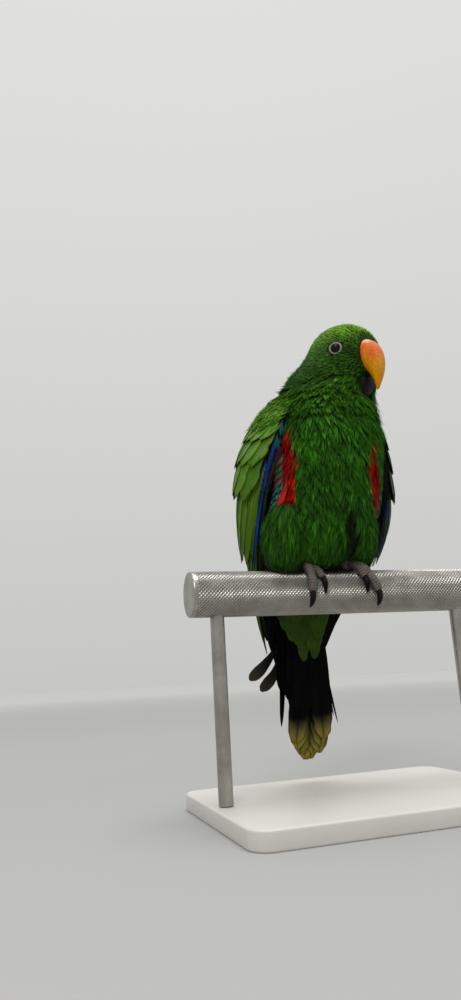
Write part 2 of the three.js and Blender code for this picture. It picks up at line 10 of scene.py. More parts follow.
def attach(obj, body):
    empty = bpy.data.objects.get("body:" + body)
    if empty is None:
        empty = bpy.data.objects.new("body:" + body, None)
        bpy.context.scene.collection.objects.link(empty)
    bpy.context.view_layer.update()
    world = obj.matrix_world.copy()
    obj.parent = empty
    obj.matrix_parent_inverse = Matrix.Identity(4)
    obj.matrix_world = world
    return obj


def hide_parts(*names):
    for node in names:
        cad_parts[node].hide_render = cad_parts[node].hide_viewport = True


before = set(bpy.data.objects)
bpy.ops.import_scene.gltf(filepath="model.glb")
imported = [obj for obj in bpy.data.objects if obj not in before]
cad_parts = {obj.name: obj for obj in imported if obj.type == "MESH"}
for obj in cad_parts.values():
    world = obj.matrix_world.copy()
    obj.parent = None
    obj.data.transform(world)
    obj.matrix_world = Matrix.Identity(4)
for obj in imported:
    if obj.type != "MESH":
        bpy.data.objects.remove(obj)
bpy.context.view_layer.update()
dice = np.random.default_rng(11)

perchHeight = 152.0  # tube axis above the floor
perchRadius = 16.0


# Small helpers
def vec(*xyz):
    return np.array(xyz, float)


def unit(a):
    return a / np.maximum(np.linalg.norm(a, axis=-1, keepdims=True), 1e-9)


def smooth(k):
    k = np.clip(k, 0, 1)
    return k * k * (3 - 2 * k)


def between(value, low, high):
    return smooth((value - low) / (high - low))


def mix(a, b, k):  # k has one dimension less than the colours or points
    return a + (b - a) * np.asarray(k)[..., None]


def tint(red, green, blue):  # screen colour 0-255 to linear light
    c = vec(red, green, blue) / 255
    return np.where(c <= 0.04045, c / 12.92, ((c + 0.055) / 1.055) ** 2.4)


def curveAt(points, u):  # smooth curve through points
    points = np.asarray(points, float)
    u = np.asarray(u, float)
    spans = len(points) - 1
    i = np.clip(np.floor(u * spans).astype(int), 0, spans - 1)
    k = (u * spans - i)[..., None]
    padded = np.vstack([2 * points[0] - points[1], points, 2 * points[-1] - points[-2]])
    a, b, c, d = padded[i], padded[i + 1], padded[i + 2], padded[i + 3]
    return 0.5 * (2 * b + (c - a) * k + (2 * a - 5 * b + 4 * c - d) * k**2 + (3 * b - a - 3 * c + d) * k**3)


def headingAt(points, u):
    return unit(curveAt(points, np.minimum(1, u + 0.02)) - curveAt(points, np.maximum(0, u - 0.02)))


def wander(p, size, seed):  # soft noise from -1 to 1 over space, size in mm
    r = np.random.default_rng(seed)
    total = np.zeros(p.shape[:-1])
    for _ in range(5):
        way = unit(r.normal(size=3)) * 2 * math.pi / size * r.uniform(0.7, 1.5)
        total += np.sin(p @ way + r.uniform(0, 6.28))
    return np.clip(total / 2.6, -1, 1)


def rotation(axis, degrees):
    a = math.radians(degrees)
    c, s = math.cos(a), math.sin(a)
    if axis == "x":
        return np.array([[1, 0, 0], [0, c, -s], [0, s, c]])
    if axis == "y":
        return np.array([[c, 0, s], [0, 1, 0], [-s, 0, c]])
    return np.array([[c, -s, 0], [s, c, 0], [0, 0, 1]])


def inMetres(points):  # from the tube's axis to the floor's level
    return points * 0.001 + vec(0, 0, perchHeight * 0.001)


# Gathers leaves, barbs and shells, then makes one mesh of them with colours and maps
class Bundle:
    def __init__(self):
        self.points, self.colours, self.grain, self.bake, self.faces, self.count = [], [], [], [], [], 0

    def add(self, points, faces, colours, bake=None, grain=None):
        n = len(points)
        self.points.append(points)
        self.colours.append(np.broadcast_to(colours, (n, 3)))
        self.bake.append(np.zeros((n, 2)) if bake is None else bake)
        self.grain.append(np.zeros((n, 3)) if grain is None else grain)
        for group in faces:
            if len(group):
                self.faces.append(np.asarray(group) + self.count)
        self.count += n

    def make(self, name, material, slot, replaces=()):
        points = inMetres(np.vstack(self.points))
        mesh = bpy.data.meshes.new(name)
        loops = np.concatenate([f.ravel() for f in self.faces])
        totals = np.concatenate([np.full(len(f), f.shape[1]) for f in self.faces])
        mesh.vertices.add(len(points))
        mesh.vertices.foreach_set("co", points.astype(np.float32).ravel())
        mesh.loops.add(len(loops))
        mesh.loops.foreach_set("vertex_index", loops.astype(np.int32))
        mesh.polygons.add(len(totals))
        mesh.polygons.foreach_set("loop_start", (np.cumsum(totals) - totals).astype(np.int32))
        mesh.polygons.foreach_set("loop_total", totals.astype(np.int32))
        mesh.update(calc_edges=True)
        colour = mesh.color_attributes.new("plume", "FLOAT_COLOR", "POINT")
        rgba = np.ones((len(points), 4), np.float32)
        rgba[:, :3] = np.vstack(self.colours)
        colour.data.foreach_set("color", rgba.ravel())
        grain = mesh.attributes.new("grain", "FLOAT_VECTOR", "POINT")
        grain.data.foreach_set("vector", np.vstack(self.grain).astype(np.float32).ravel())
        bake = mesh.uv_layers.new(name="OFBake")
        bake.data.foreach_set("uv", np.vstack(self.bake)[loops].astype(np.float32).ravel())
        mesh.polygons.foreach_set("use_smooth", np.ones(len(totals), bool))
        mesh.validate()
        piece = bpy.data.objects.new(name, mesh)
        bpy.context.collection.objects.link(piece)
        mesh.materials.append(material)
        finishPiece(piece, replaces)


def finishPiece(piece, replaces=()):
    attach(piece, "root")
    if replaces:
        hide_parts(*replaces)
    faces = sum(len(p.vertices) - 2 for p in piece.data.polygons)
    print("made", piece.name, faces, "triangles")


def gridFaces(rows, cols, wrap=False, close=False, flip=False):  # wrap joins the columns, close the rows
    r = np.arange(rows if close else rows - 1)[:, None]
    c = np.arange(cols if wrap else cols - 1)
    here, below, beside = r * cols, (r + 1) % rows * cols, (c + 1) % cols
    quad = np.stack([here + c, below + c, below + beside, here + beside], -1).reshape(-1, 4)
    return quad[:, ::-1] if flip else quad


# A closed shell over rings of points, with a point at each end
def shellParts(rings, start, end):
    rows, cols = rings.shape[:2]
    points = np.vstack([rings.reshape(-1, 3), start, end])
    k = np.arange(cols)
    after = (k + 1) % cols
    first = np.stack([np.full(cols, rows * cols), k, after], -1)
    last = np.stack([np.full(cols, rows * cols + 1), (rows - 1) * cols + after, (rows - 1) * cols + k], -1)
    return points, facingOut(points, [gridFaces(rows, cols, wrap=True), np.vstack([first, last])])


def facingOut(points, faces):  # turns the faces round if the shell that they close is inside out
    volume = 0
    for group in faces:
        p = points[group]
        for k in range(1, group.shape[1] - 1):
            volume += (p[:, 0] * np.cross(p[:, k], p[:, k + 1])).sum()
    return [group[:, ::-1] for group in faces] if volume < 0 else faces


# Materials
def node(tree, kind, **settings):  # a setting is the node's own or, with _ for each space, an input
    made = tree.nodes.new(kind)
    for key, value in settings.items():
        if hasattr(made, key):
            setattr(made, key, value)
        else:
            made.inputs[key.replace("_", " ")].default_value = value
    return made


def feed(tree, target, **sources):
    for key, source in sources.items():
        tree.links.new(source, target.inputs[key.replace("_", " ")])


def newMaterial(name, **values):
    material = bpy.data.materials.new(name)
    material.use_nodes = True
    tree = material.node_tree
    tree.nodes.clear()
    shader = node(tree, "ShaderNodeBsdfPrincipled", **values)
    feed(tree, tree.nodes.new("ShaderNodeOutputMaterial"), Surface=shader.outputs["BSDF"])
    return material, tree, shader


def grainOf(tree):
    return node(tree, "ShaderNodeAttribute", attribute_name="grain").outputs["Vector"]


def objectPlace(tree):
    return node(tree, "ShaderNodeTexCoord").outputs["Object"]


def noise(tree, vector, scale, detail=3.0, roughness=0.6):
    made = node(tree, "ShaderNodeTexNoise", Scale=scale, Detail=detail, Roughness=roughness)
    feed(tree, made, Vector=vector)
    return made.outputs["Fac"]


def stretched(tree, vector, scale):
    made = node(tree, "ShaderNodeMapping", Scale=scale)
    feed(tree, made, Vector=vector)
    return made.outputs["Vector"]


def rangeOf(tree, value, low, high, toLow, toHigh):
    made = node(tree, "ShaderNodeMapRange", From_Min=low, From_Max=high, To_Min=toLow, To_Max=toHigh)
    feed(tree, made, Value=value)
    return made.outputs["Result"]


def shadedPlume(tree, factor):  # the piece's own colours, made lighter and darker
    made = node(tree, "ShaderNodeVectorMath", operation="SCALE")
    colour = node(tree, "ShaderNodeAttribute", attribute_name="plume").outputs["Color"]
    tree.links.new(colour, made.inputs[0])
    feed(tree, made, Scale=factor)
    return made.outputs["Vector"]


def mixedColour(tree, low, high, share):
    made = node(tree, "ShaderNodeMix", data_type="RGBA", A=low, B=high)
    feed(tree, made, Factor=share)
    return made.outputs["Result"]


def bumpOf(tree, height, distance, strength=1.0):
    made = node(tree, "ShaderNodeBump", Strength=strength, Distance=distance)
    feed(tree, made, Height=height)
    return made.outputs["Normal"]


def calc(tree, operation, a, b=None):
    made = node(tree, "ShaderNodeMath", operation=operation)
    for i, value in enumerate((a, b)):
        if isinstance(value, (int, float)):
            made.inputs[i].default_value = value
        elif value is not None:
            tree.links.new(value, made.inputs[i])
    return made.outputs["Value"]


def plumeMaterial(name, roughness, sheen, mottle):  # soft body feathers in the colours of their attribute
    material, tree, shader = newMaterial(
        name, Roughness=roughness, Specular_IOR_Level=0.09, Sheen_Weight=sheen, Sheen_Roughness=0.4,
        Sheen_Tint=(0.6, 1.0, 0.3, 1),
    )
    spots = rangeOf(tree, noise(tree, objectPlace(tree), 420.0), 0.3, 0.7, 1 - mottle, 1 + mottle)
    feed(tree, shader, Base_Color=shadedPlume(tree, spots))
    return material


def vaneMaterial(name, roughness, gloss, pitch):  # stiff feathers: barbs run out from the shaft at a slant
    material, tree, shader = newMaterial(
        name, Roughness=roughness, Specular_IOR_Level=gloss, Specular_Tint=(0.8, 1.0, 0.6, 1),
    )
    parts = node(tree, "ShaderNodeSeparateXYZ")
    tree.links.new(grainOf(tree), parts.inputs[0])
    slant = calc(tree, "MULTIPLY", calc(tree, "ABSOLUTE", parts.outputs["X"]), -1.1)
    slant = calc(tree, "ADD", parts.outputs["Y"], slant)
    wave = calc(tree, "SINE", calc(tree, "MULTIPLY", slant, 6.283 / pitch))
    streak = node(tree, "ShaderNodeCombineXYZ")
    feed(tree, streak, X=slant, Z=parts.outputs["Z"])
    rough = rangeOf(tree, noise(tree, streak.outputs["Vector"], 0.9, 4.0, 0.7), 0.25, 0.75, 0.72, 1.25)
    shade = calc(tree, "ADD", rough, calc(tree, "MULTIPLY", wave, 0.06))
    colour = shadedPlume(tree, shade)
    feed(tree, shader, Base_Color=colour, Normal=bumpOf(tree, wave, 0.00012, 0.7))
    return material


plumeBody = plumeMaterial("silky green plumage", 0.55, 0.04, 0.22)
# the skin under the plumage is painted dark: painted shade deep in the plumage, seen between the tufts
plumeUnderShade = plumeMaterial("skin under the plumage in painted shade", 0.85, 0.0, 0.35)
plumeWing = vaneMaterial("wing feather vanes", 0.42, 0.2, 0.55)
plumeTail = vaneMaterial("tail feather vanes", 0.55, 0.04, 0.7)
# The bird's outline
pose = {"headAt": vec(12.6, -6, 184.5), "yaw": 24, "nod": 9, "tip": -6, "blend": 16.0}
headTurn = rotation("y", pose["tip"]) @ rotation("x", pose["nod"]) @ rotation("z", pose["yaw"])
headAt = pose["headAt"]


def inHead(p):
    return np.asarray(p, float) @ headTurn.T + headAt


# centre, radii and tilt about X of the rounded masses under the feathers
bodyMasses = {
    "neck": ((6.5, 4.5, 157), (31.5, 32, 26), 0),
    "nape": ((-1.5, 12.5, 173.5), (21, 18.5, 10.5), 0),
    "hackles": ((4, 4, 142), (38, 35, 28), 0),
    "crop": ((0, -10, 120), (39, 31, 34), -8),
    "breast": ((-5, -6, 90), (42, 38, 44), -4),
    "belly": ((-12, -4, 54), (39, 34, 34), 6),
    "rightFlank": ((-28, -3, 44), (23, 24, 25), 0),
    "rightShoulder": ((-22, 14, 136), (22, 22, 24), 0),
    "leftShoulder": ((24, 14, 138), (16, 22, 22), 0),
    "mantle": ((-2, 20, 114), (36, 25, 40), 8),
    "back": ((-7, 24, 72), (33, 24, 48), 6),
    "rump": ((-11, 30, 26), (24, 15, 32), 10),
}
headMasses = {
    "skull": ((0.4, -0.4, 2), (24.6, 24.2, 25.8)),
    "forehead": ((1.4, -15.6, 3.4), (23, 19.2, 21.4)),
    "rightCheek": ((-9, -5, -15), (17, 19, 16)),
    "leftCheek": ((9, -5, -15), (17, 19, 16)),
}
masses = [(vec(*at), vec(*radii), rotation("x", tilt)) for at, radii, tilt in bodyMasses.values()]
masses += [(inHead(at), vec(*radii), headTurn) for at, radii in headMasses.values()]


def outside(p):  # roughly how far outside the plumage's outline each point is
    nearest = np.full(p.shape[:-1], 1e9)
    for at, radii, turn in masses:
        q = (p - at) @ turn / radii
        k0 = np.linalg.norm(q, axis=-1)
        k1 = np.maximum(np.linalg.norm(q / radii, axis=-1), 1e-9)
        d = k0 * (k0 - 1) / k1
        share = np.maximum(0, 1 - np.abs(d - nearest) / pose["blend"])
        nearest = np.minimum(d, nearest) - share**2 * pose["blend"] / 4
    return nearest


def slopeOf(p, near=None):
    near = outside(p) if near is None else near
    steps = [(outside(p + 0.4 * axis) - near) / 0.4 for axis in np.eye(3)]
    return np.stack(steps, -1)


def settle(p, level, rounds=2):  # moves points on to the layer that lies level outside the outline
    for _ in range(rounds):
        near = outside(p)
        slope = slopeOf(p, near)
        p = p - slope * ((near - level) / np.maximum((slope**2).sum(-1), 0.2))[..., None]
    return p


spine = [headAt, (10, 1, 164), (4, 4, 142), (-1, 4, 112), (-6, 6, 80), (-11, 11, 48), (-11, 27, 20)]
crownShare, ventShare = 0.2, 0.12


def bodyFrame(v):
    u = np.clip((v - crownShare) / (1 - crownShare - ventShare), 0, 1)
    at = curveAt(spine, u)
    up = unit(mix(headTurn @ vec(0, 0, 1), -headingAt(spine, u), smooth(u / 0.3)))
    front = mix(headTurn @ vec(0, -1, 0), vec(0, -1, 0), smooth(u / 0.42))
    front = unit(front - up * (front * up).sum(-1, keepdims=True))
    return at, up, front, np.cross(up, front)


def bodyPoints(v, turn, level):  # v down the body, turn round it from the front by the bird's left
    at, up, front, side = bodyFrame(v)
    dome = np.where(v < crownShare, 1 - v / crownShare, 0)
    end = np.where(v > 1 - ventShare, (v - 1 + ventShare) / ventShare, 0)
    lift = ((dome - end) * math.pi / 2)[..., None]
    way = front * np.cos(turn)[..., None] + side * np.sin(turn)[..., None]
    way = way * np.cos(lift) + up * np.sin(lift)
    near, far = np.zeros(v.shape), np.full(v.shape, 4.0)
    for _ in range(30):
        inside = outside(at + way * far[..., None]) < level
        near = np.where(inside, far, near)
        far = np.where(inside, far + 3, far)
    for _ in range(12):
        half = (near + far) / 2
        inside = outside(at + way * half[..., None]) < level
        near, far = np.where(inside, half, near), np.where(inside, far, half)
    return at + way * near[..., None]


print("outline ready")

# Markings, shared by skin and coat
greens = {
    # the crown is lighter and the throat darker: partly the bird's own colour, partly painted light from above
    # and painted shade under the head
    "crown": tint(92, 140, 18),
    "face": tint(50, 92, 20),
    "throat": tint(34, 74, 14),
    "neck": tint(54, 104, 14),
    "breast": tint(42, 98, 12),
    "belly": tint(38, 88, 12),
    "nape": tint(92, 148, 28),
    "back": tint(56, 106, 16),
}
flankRed, flankTeal = tint(158, 12, 10), tint(22, 96, 92)
# how far in from each side the red reaches, by height above the tube
redRight = {
    "height": (48, 56, 64, 80, 99, 112, 126, 138),
    "edge": (-58, -46.5, -42.3, -40.2, -38.6, -40, -41.6, -54),
}
redLeft = {
    "height": (50, 58, 68, 75, 85, 93, 99, 106, 112),
    "edge": (30, 19, 16, 13, 11, 11.5, 15.5, 18.5, 30),
    "outer": (31, 28, 28, 26, 23, 22, 22, 22.5, 30),
}


def bodyColour(p):
    z = p[..., 2] + 4 * wander(p, 26, 3)
    q = (p - headAt) @ headTurn
    colour = mix(greens["belly"], greens["breast"], between(z, 62, 88))
    colour = mix(colour, greens["neck"], between(z, 122, 146))
    behind = between(p[..., 1], 4, 26)
    colour = mix(colour, greens["back"], behind * (1 - between(z, 130, 150)))
    colour = mix(colour, greens["nape"], behind * between(z, 130, 150))
    # the face darkens towards the throat and lightens towards the crown: partly the bird's own colour, partly
    # painted shade and light
    face = mix(greens["throat"], greens["face"], between(q[..., 2], -26, -4))
    face = mix(face, greens["crown"], between(q[..., 2], 6, 22))
    colour = mix(colour, face, between(p[..., 2], 152, 170) * (1 - 0.75 * behind * (q[..., 2] < 14)))
    ragged = 1.6 * wander(p, 7, 5)
    right = np.interp(p[..., 2], redRight["height"], redRight["edge"], -99, -99) - p[..., 0] + ragged
    left = p[..., 0] - np.interp(p[..., 2], redLeft["height"], redLeft["edge"], 99, 99)
    beyond = p[..., 0] - np.interp(p[..., 2], redLeft["height"], redLeft["outer"], 99, 99)
    left = np.minimum(left, -beyond) + ragged
    blueGreen = between(beyond, 0.5, 3) * between(76 - p[..., 2], 0, 6) * (p[..., 1] < 12)
    colour = mix(colour, flankTeal, 0.8 * blueGreen)
    red = np.maximum(smooth(right + 0.5), smooth(left + 0.5)) * (p[..., 1] < 14)
    colour = mix(colour, flankRed * (1 + 0.25 * wander(p, 12, 8))[..., None], red)
    # painted shade in the parting between the belly and the left leg
    apart = np.abs(p[..., 0] - 14 + 0.39 * p[..., 2])
    partingShade = between(6.2 - apart, 0, 3.6) * between(62 - p[..., 2], 0, 12) * (p[..., 1] < 2)
    # painted shadow under the bill
    shadowUnderBill = np.exp(-((np.linalg.norm(q - vec(0, -20, -36), axis=-1) / 11) ** 2))
    light = 1 + 0.2 * wander(p, 34, 1) + 0.16 * wander(p, 13, 2)
    return colour * (light * (1 - 0.93 * partingShade) * (1 - 0.8 * shadowUnderBill))[..., None]


# Skin
skinLook = {"rings": 150, "sides": 120, "depth": 3.4, "headDepth": 1.7}


def skinDepth(p):
    return skinLook["depth"] + (skinLook["headDepth"] - skinLook["depth"]) * between(p[..., 2], 148, 168)


thighs = {
    "right": {
        "path": [(-40, -8, 62), (-46, -12, 46), (-48, -11, 33), (-47, -3, 22)],
        "radii": [14, 17, 16, 11],
    },
    "left": {
        "path": [(13, -14, 62), (14, -18, 48), (14.5, -17, 36), (15.5, -10, 24)],
        "radii": [8, 10, 9.5, 6.5],
    },
}


def tubeRings(path, radii, steps, sides, flat=1.0):
    u = np.linspace(0, 1, steps)
    at = curveAt(path, u)
    way = headingAt(path, u)
    side = unit(vec(1, 0, 0) - way * way[:, :1])
    up = np.cross(way, side)
    radius = curveAt([(r, 0, 0) for r in radii], u)[:, 0]
    a = np.linspace(0, 2 * math.pi, sides, endpoint=False)
    ring = side[:, None] * np.cos(a)[None, :, None] + up[:, None] * np.sin(a)[None, :, None] * flat
    return at[:, None] + ring * radius[:, None, None], at


def makeSkin():
    bundle = Bundle()
    rings, sides = skinLook["rings"], skinLook["sides"]
    v, turn = np.meshgrid(np.arange(1, rings) / rings, np.arange(sides) * 2 * math.pi / sides, indexing="ij")
    shell = bodyPoints(v, turn, 0.0)
    shell = settle(shell, -skinDepth(shell), 2)
    ends = [bodyPoints(np.array([k]), np.array([0.0]), -2.0)[0] for k in (0.0, 1.0)]
    points, faces = shellParts(shell, *ends)
    bake = np.stack([turn.ravel() / (2 * math.pi) * 0.7, v.ravel()], -1)
    bake = np.vstack([bake, [[0.35, 0.0], [0.35, 1.0]]])
    # the skin takes the markings, darkened as painted shade deep in the plumage
    bundle.add(points, faces, bodyColour(points) * 0.22, bake)
    for thigh in thighs.values():
        rows, at = tubeRings(thigh["path"], np.array(thigh["radii"]) - skinLook["depth"], 24, 28)
        points, faces = shellParts(rows, at[0], at[-1])
        # the thighs' skin is darkened as painted shade under their feathers
        bundle.add(points, faces, greens["belly"] * 0.2)
    bundle.make("skin", plumeUnderShade, "plumage_body", ("head", "neck", "torso", "thigh_right", "thigh_left"))


makeSkin()


# Coat
# Tufts of loose barbs: long ones on breast and belly, very short ones on the head
coatLook = {
    "head": {
        "low": 164, "high": 260, "row": 1.8, "gap": 1.7, "length": 6.2, "half": 1.0, "blades": 4,
        "blade": 0.36, "rise": 0.7, "splay": 7, "steps": 2, "close": 0.6, "lift": 0.3, "vary": 0.1,
    },
    "neck": {
        "low": 136, "high": 164, "row": 2.5, "gap": 2.5, "length": 15, "half": 1.7, "blades": 7,
        "blade": 0.34, "rise": 1.8, "splay": 14, "steps": 3, "close": 0.35, "lift": 2.6, "vary": 0.24,
    },
    "breast": {
        "low": 90, "high": 136, "row": 3.2, "gap": 3.1, "length": 21, "half": 2.3, "blades": 9,
        "blade": 0.38, "rise": 1.8, "splay": 14, "steps": 3, "close": 0.3, "lift": 1.8, "vary": 0.27,
    },
    "belly": {
        "low": 46, "high": 90, "row": 3.5, "gap": 3.4, "length": 19, "half": 2.7, "blades": 9,
        "blade": 0.42, "rise": 1.9, "splay": 16, "steps": 3, "close": 0.4, "lift": 1.5, "vary": 0.24,
    },
}
coatLook["vent"] = {**coatLook["belly"], "low": 10, "high": 46}
billBase = inHead((0, -30, -4))
eyeLook = {
    "radius": 5.2, "inset": 3.5, "lidRadius": 4.3, "clear": 5.4, "pupil": tint(4, 4, 6), "iris": tint(9, 7, 8),
    "rim": tint(5, 5, 6), "lid": tint(150, 136, 136),
}


def eyePlace(sign):
    way = headTurn @ unit(vec(sign * 0.93, -0.43, 0.03))
    start = inHead((0, -7, 4))
    far = 10.0
    while outside((start + way * far)[None])[0] < 0:
        far += 0.05
    return start + way * far, way


eyes = {"right": eyePlace(-1), "left": eyePlace(1)}


def lieOf(p, normal):  # the way the feathers point
    away = p - billBase
    down = np.broadcast_to(vec(0, 0.06, -1), p.shape)
    headness = 1 - between(np.linalg.norm(p - headAt, axis=-1), 27, 52)
    headness = np.where(p[..., 2] > 168, np.maximum(headness, 0.75), headness)
    away = unit(away - normal * (away * normal).sum(-1, keepdims=True))
    flat = unit(down - normal * (down * normal).sum(-1, keepdims=True))
    lie = away * headness[..., None] + flat * (1 - headness)[..., None]
    return unit(lie - normal * (lie * normal).sum(-1, keepdims=True))


def rootRows(low, high, row, gap):  # staggered rows of roots over the body between two heights
    v = np.linspace(0.004, 0.985, 420)
    turn = np.linspace(0, 2 * math.pi, 97)
    vv, tt = np.meshgrid(v, turn, indexing="ij")
    grid = bodyPoints(vv, tt, 0.0)
    stride = np.linalg.norm(np.diff(grid, axis=0), axis=-1).mean(1)
    travel = np.concatenate([[0], np.cumsum(stride)])
    roots, places = [], []
    for n, distance in enumerate(np.arange(row * 0.3, travel[-1], row)):
        index = np.interp(distance, travel, np.arange(len(v)))
        i, k = int(index), index - int(index)
        ring = grid[i] * (1 - k) + grid[min(i + 1, len(v) - 1)] * k
        around = np.concatenate([[0], np.cumsum(np.linalg.norm(np.diff(ring, axis=0), axis=-1))])
        count = max(3, int(around[-1] / gap))
        spot = (np.arange(count) + 0.5 * (n % 2) + dice.uniform(-0.3, 0.3, count)) % count / count * around[-1]
        along = np.interp(spot, around, np.arange(97))
        j = np.minimum(along.astype(int), 95)
        point = ring[j] * (1 - (along - j))[:, None] + ring[j + 1] * (along - j)[:, None]
        roots.append(point + dice.normal(0, row * 0.14, point.shape))
        places.append(np.stack([along / 96 * 0.7, np.full(count, np.interp(index, np.arange(len(v)), v))], -1))
    roots, places = np.vstack(roots), np.vstack(places)
    keep = (roots[:, 2] >= low) & (roots[:, 2] < high)
    return roots[keep], places[keep]


def barbParts(spineRows, sideRows, normalRows, look, shadedRootColour, colourTip, places, seed):
    # spineRows has one row of points for each tuft, from root to tip
    r = np.random.default_rng(seed)
    n, knots = spineRows.shape[:2]
    blades, steps = look["blades"], look["steps"]
    c = np.linspace(-1, 1, blades)[None] + r.uniform(-0.18, 0.18, (n, blades))
    reach = np.clip(1 - 0.22 * c**2 - r.uniform(0, 0.24, (n, blades)), 0.3, 1)
    lift = r.uniform(-0.5, 0.9, (n, blades)) * look["rise"]
    levels = np.linspace(0, 0.74, steps)
    everyU = np.concatenate([levels, [1.0]])
    u = reach[..., None] * everyU
    index = np.clip(u * (knots - 1), 0, knots - 1.001)
    i = index.astype(int)
    k = (index - i)[..., None]
    tuft = np.arange(n)[:, None, None]

    def pick(rows):
        return rows[tuft, i] * (1 - k) + rows[tuft, i + 1] * k

    centre, side, normal = pick(spineRows), unit(pick(sideRows)), unit(pick(normalRows))
    close = look["close"]
    fan = np.interp(everyU, [0, 0.35, 0.7, 1], [0.5, 1, 0.5 + 0.5 * close, close]) * look["half"]
    raised = lift[..., None] * everyU**1.5
    centre = centre + side * (c[..., None] * fan)[..., None] + normal * raised[..., None]
    width = look["blade"] * np.interp(everyU, [0, 0.4, 0.74, 1], [0.9, 1, 0.72, 0])
    width = width * r.uniform(0.75, 1.2, (n, blades, 1))
    keel = 0.4 * width
    left = centre[:, :, :-1] - side[:, :, :-1] * width[..., :-1, None]
    right = centre[:, :, :-1] + side[:, :, :-1] * width[..., :-1, None]
    top = centre[:, :, :-1] + normal[:, :, :-1] * keel[..., :-1, None]
    ring = np.stack([left, right, top], 3)
    tip = centre[:, :, -1:]
    points = np.concatenate([ring.reshape(n, blades, steps * 3, 3), tip], 2).reshape(-1, 3)
    each = steps * 3 + 1
    quads, triangles = [], [[0, 2, 1]]
    for s in range(steps - 1):
        for a, b in ((0, 1), (1, 2), (2, 0)):
            quads.append([s * 3 + a, s * 3 + b, s * 3 + 3 + b, s * 3 + 3 + a])
    base = (steps - 1) * 3
    triangles += [[base, base + 1, each - 1], [base + 1, base + 2, each - 1], [base + 2, base, each - 1]]
    starts = (np.arange(n * blades) * each)[:, None, None]
    faces = [(np.array(group)[None] + starts).reshape(-1, len(group[0])) for group in (quads, triangles)]
    # blades differ in brightness, and the roots are painted darker than the tips as painted shade deep in the
    # plumage
    shade = r.uniform(0.6, 1.35, (n, blades, 1, 1)) * np.where(r.random((n, blades, 1, 1)) < 0.1, 1.6, 1.0)
    shade = shade * (1.2 - 0.4 * c**2)[..., None, None]
    along = np.concatenate([np.repeat(levels, 3), [1.0]])[None, None, :, None]
    colour = shadedRootColour[:, None, None] * (1 - along**0.8) + colourTip[:, None, None] * along**0.8
    colour = (colour * shade).reshape(-1, 3)
    bakeX = np.concatenate([np.tile([-1, 1, 0], steps), [0]])[None, None] * 0.0003 + c[..., None] * 0.0011
    bakeY = np.broadcast_to(along[..., 0] * 0.003, bakeX.shape)
    bake = (np.stack([bakeX, bakeY], -1) + places[:, None, None]).reshape(-1, 2)
    return points, faces, colour, bake


def coatOver(name, look, seed):
    roots, places = rootRows(look["low"], look["high"], look["row"], look["gap"])
    roots = settle(roots, -skinDepth(roots) - 0.3, 2)
    clear = np.ones(len(roots), bool)
    for at, _ in eyes.values():
        clear &= np.linalg.norm(roots - at, axis=-1) > eyeLook["clear"]
    q = (roots - headAt) @ headTurn
    upper = (q[:, 0] / 9.6) ** 2 + ((q[:, 2] - 1) / 13.5) ** 2
    lower = (q[:, 0] / 11) ** 2 + ((q[:, 2] + 20) / 11) ** 2
    clear &= ~((q[:, 1] < -14) & (np.minimum(upper, lower) < 1))
    roots, places = roots[clear], places[clear]
    r = np.random.default_rng(seed)
    n = len(roots)
    normal = unit(slopeOf(roots))
    way = lieOf(roots, normal)
    angle = np.radians(look["splay"]) * (r.normal(0, 0.55, n) + 0.9 * wander(roots, 17, seed))
    side = np.cross(normal, way)
    way = way * np.cos(angle)[:, None] + side * np.sin(angle)[:, None]
    length = look["length"] * r.uniform(0.8, 1.15, n)
    knots = 4
    rows, sides, normals = [roots], [], []
    at = roots
    depth = skinDepth(roots)
    stick = np.clip(r.normal(0.1, 0.5, n), -0.5, 1.8) + 0.5 * wander(roots, 11, seed + 5)
    ruffled = between(roots[:, 1], -4, 12) * between(192 - roots[:, 2], 0, 16) * (roots[:, 2] > 140)
    stick = stick + ruffled * r.exponential(0.7, n) * (5 if name == "head" else 1.0)
    for k in range(1, knots + 1):
        normal = unit(slopeOf(at))
        way = unit(way - normal * (way * normal).sum(-1, keepdims=True))
        sides.append(np.cross(way, normal))
        normals.append(normal)
        u = k / knots
        level = -depth - 0.3 + (depth + 0.5) * min(1, u * 1.15) + look["lift"] * u**2 * stick
        at = settle(at + way * (length / knots)[:, None], level, 1)
        rows.append(at)
    sides.append(sides[-1])
    normals.append(normals[-1])
    rows, sides, normals = (np.stack(x, 1) for x in (rows, sides, normals))
    colour = bodyColour(rows[:, 2])
    bright = np.exp(look["vary"] * (r.normal(0, 1, n) + wander(roots, 7, seed + 9)))[:, None]
    # roots in a darkened colour: painted shade deep in the plumage
    return barbParts(rows, sides, normals, look, colour * 0.16, colour * bright * 1.3, places, seed + 1)


for seed, (name, look) in enumerate(coatLook.items()):
    bundle = Bundle()
    bundle.add(*coatOver(name, look, 20 + 3 * seed))
    bundle.make(name + "Coat", plumeBody, "plumage_body" if name in ("belly", "vent") else "plumage_green")


thighLook = {
    "rows": 15, "around": 22, "length": 19, "half": 2.5, "blades": 9, "blade": 0.4, "rise": 1.8, "steps": 3,
    "close": 0.35,
}


def onThigh(thigh, u, turn, level):  # a point round the thigh with the ways down and outwards
    along = headingAt(thigh["path"], u)
    across = unit(vec(1, 0, 0) - along * along[:, :1])
    outwards = across * np.cos(turn)[:, None] + np.cross(along, across) * np.sin(turn)[:, None]
    radius = curveAt([(r, 0, 0) for r in thigh["radii"]], np.clip(u, 0, 1))[:, 0]
    return curveAt(thigh["path"], u) + outwards * np.maximum(radius + level, 1.0)[:, None], along, outwards


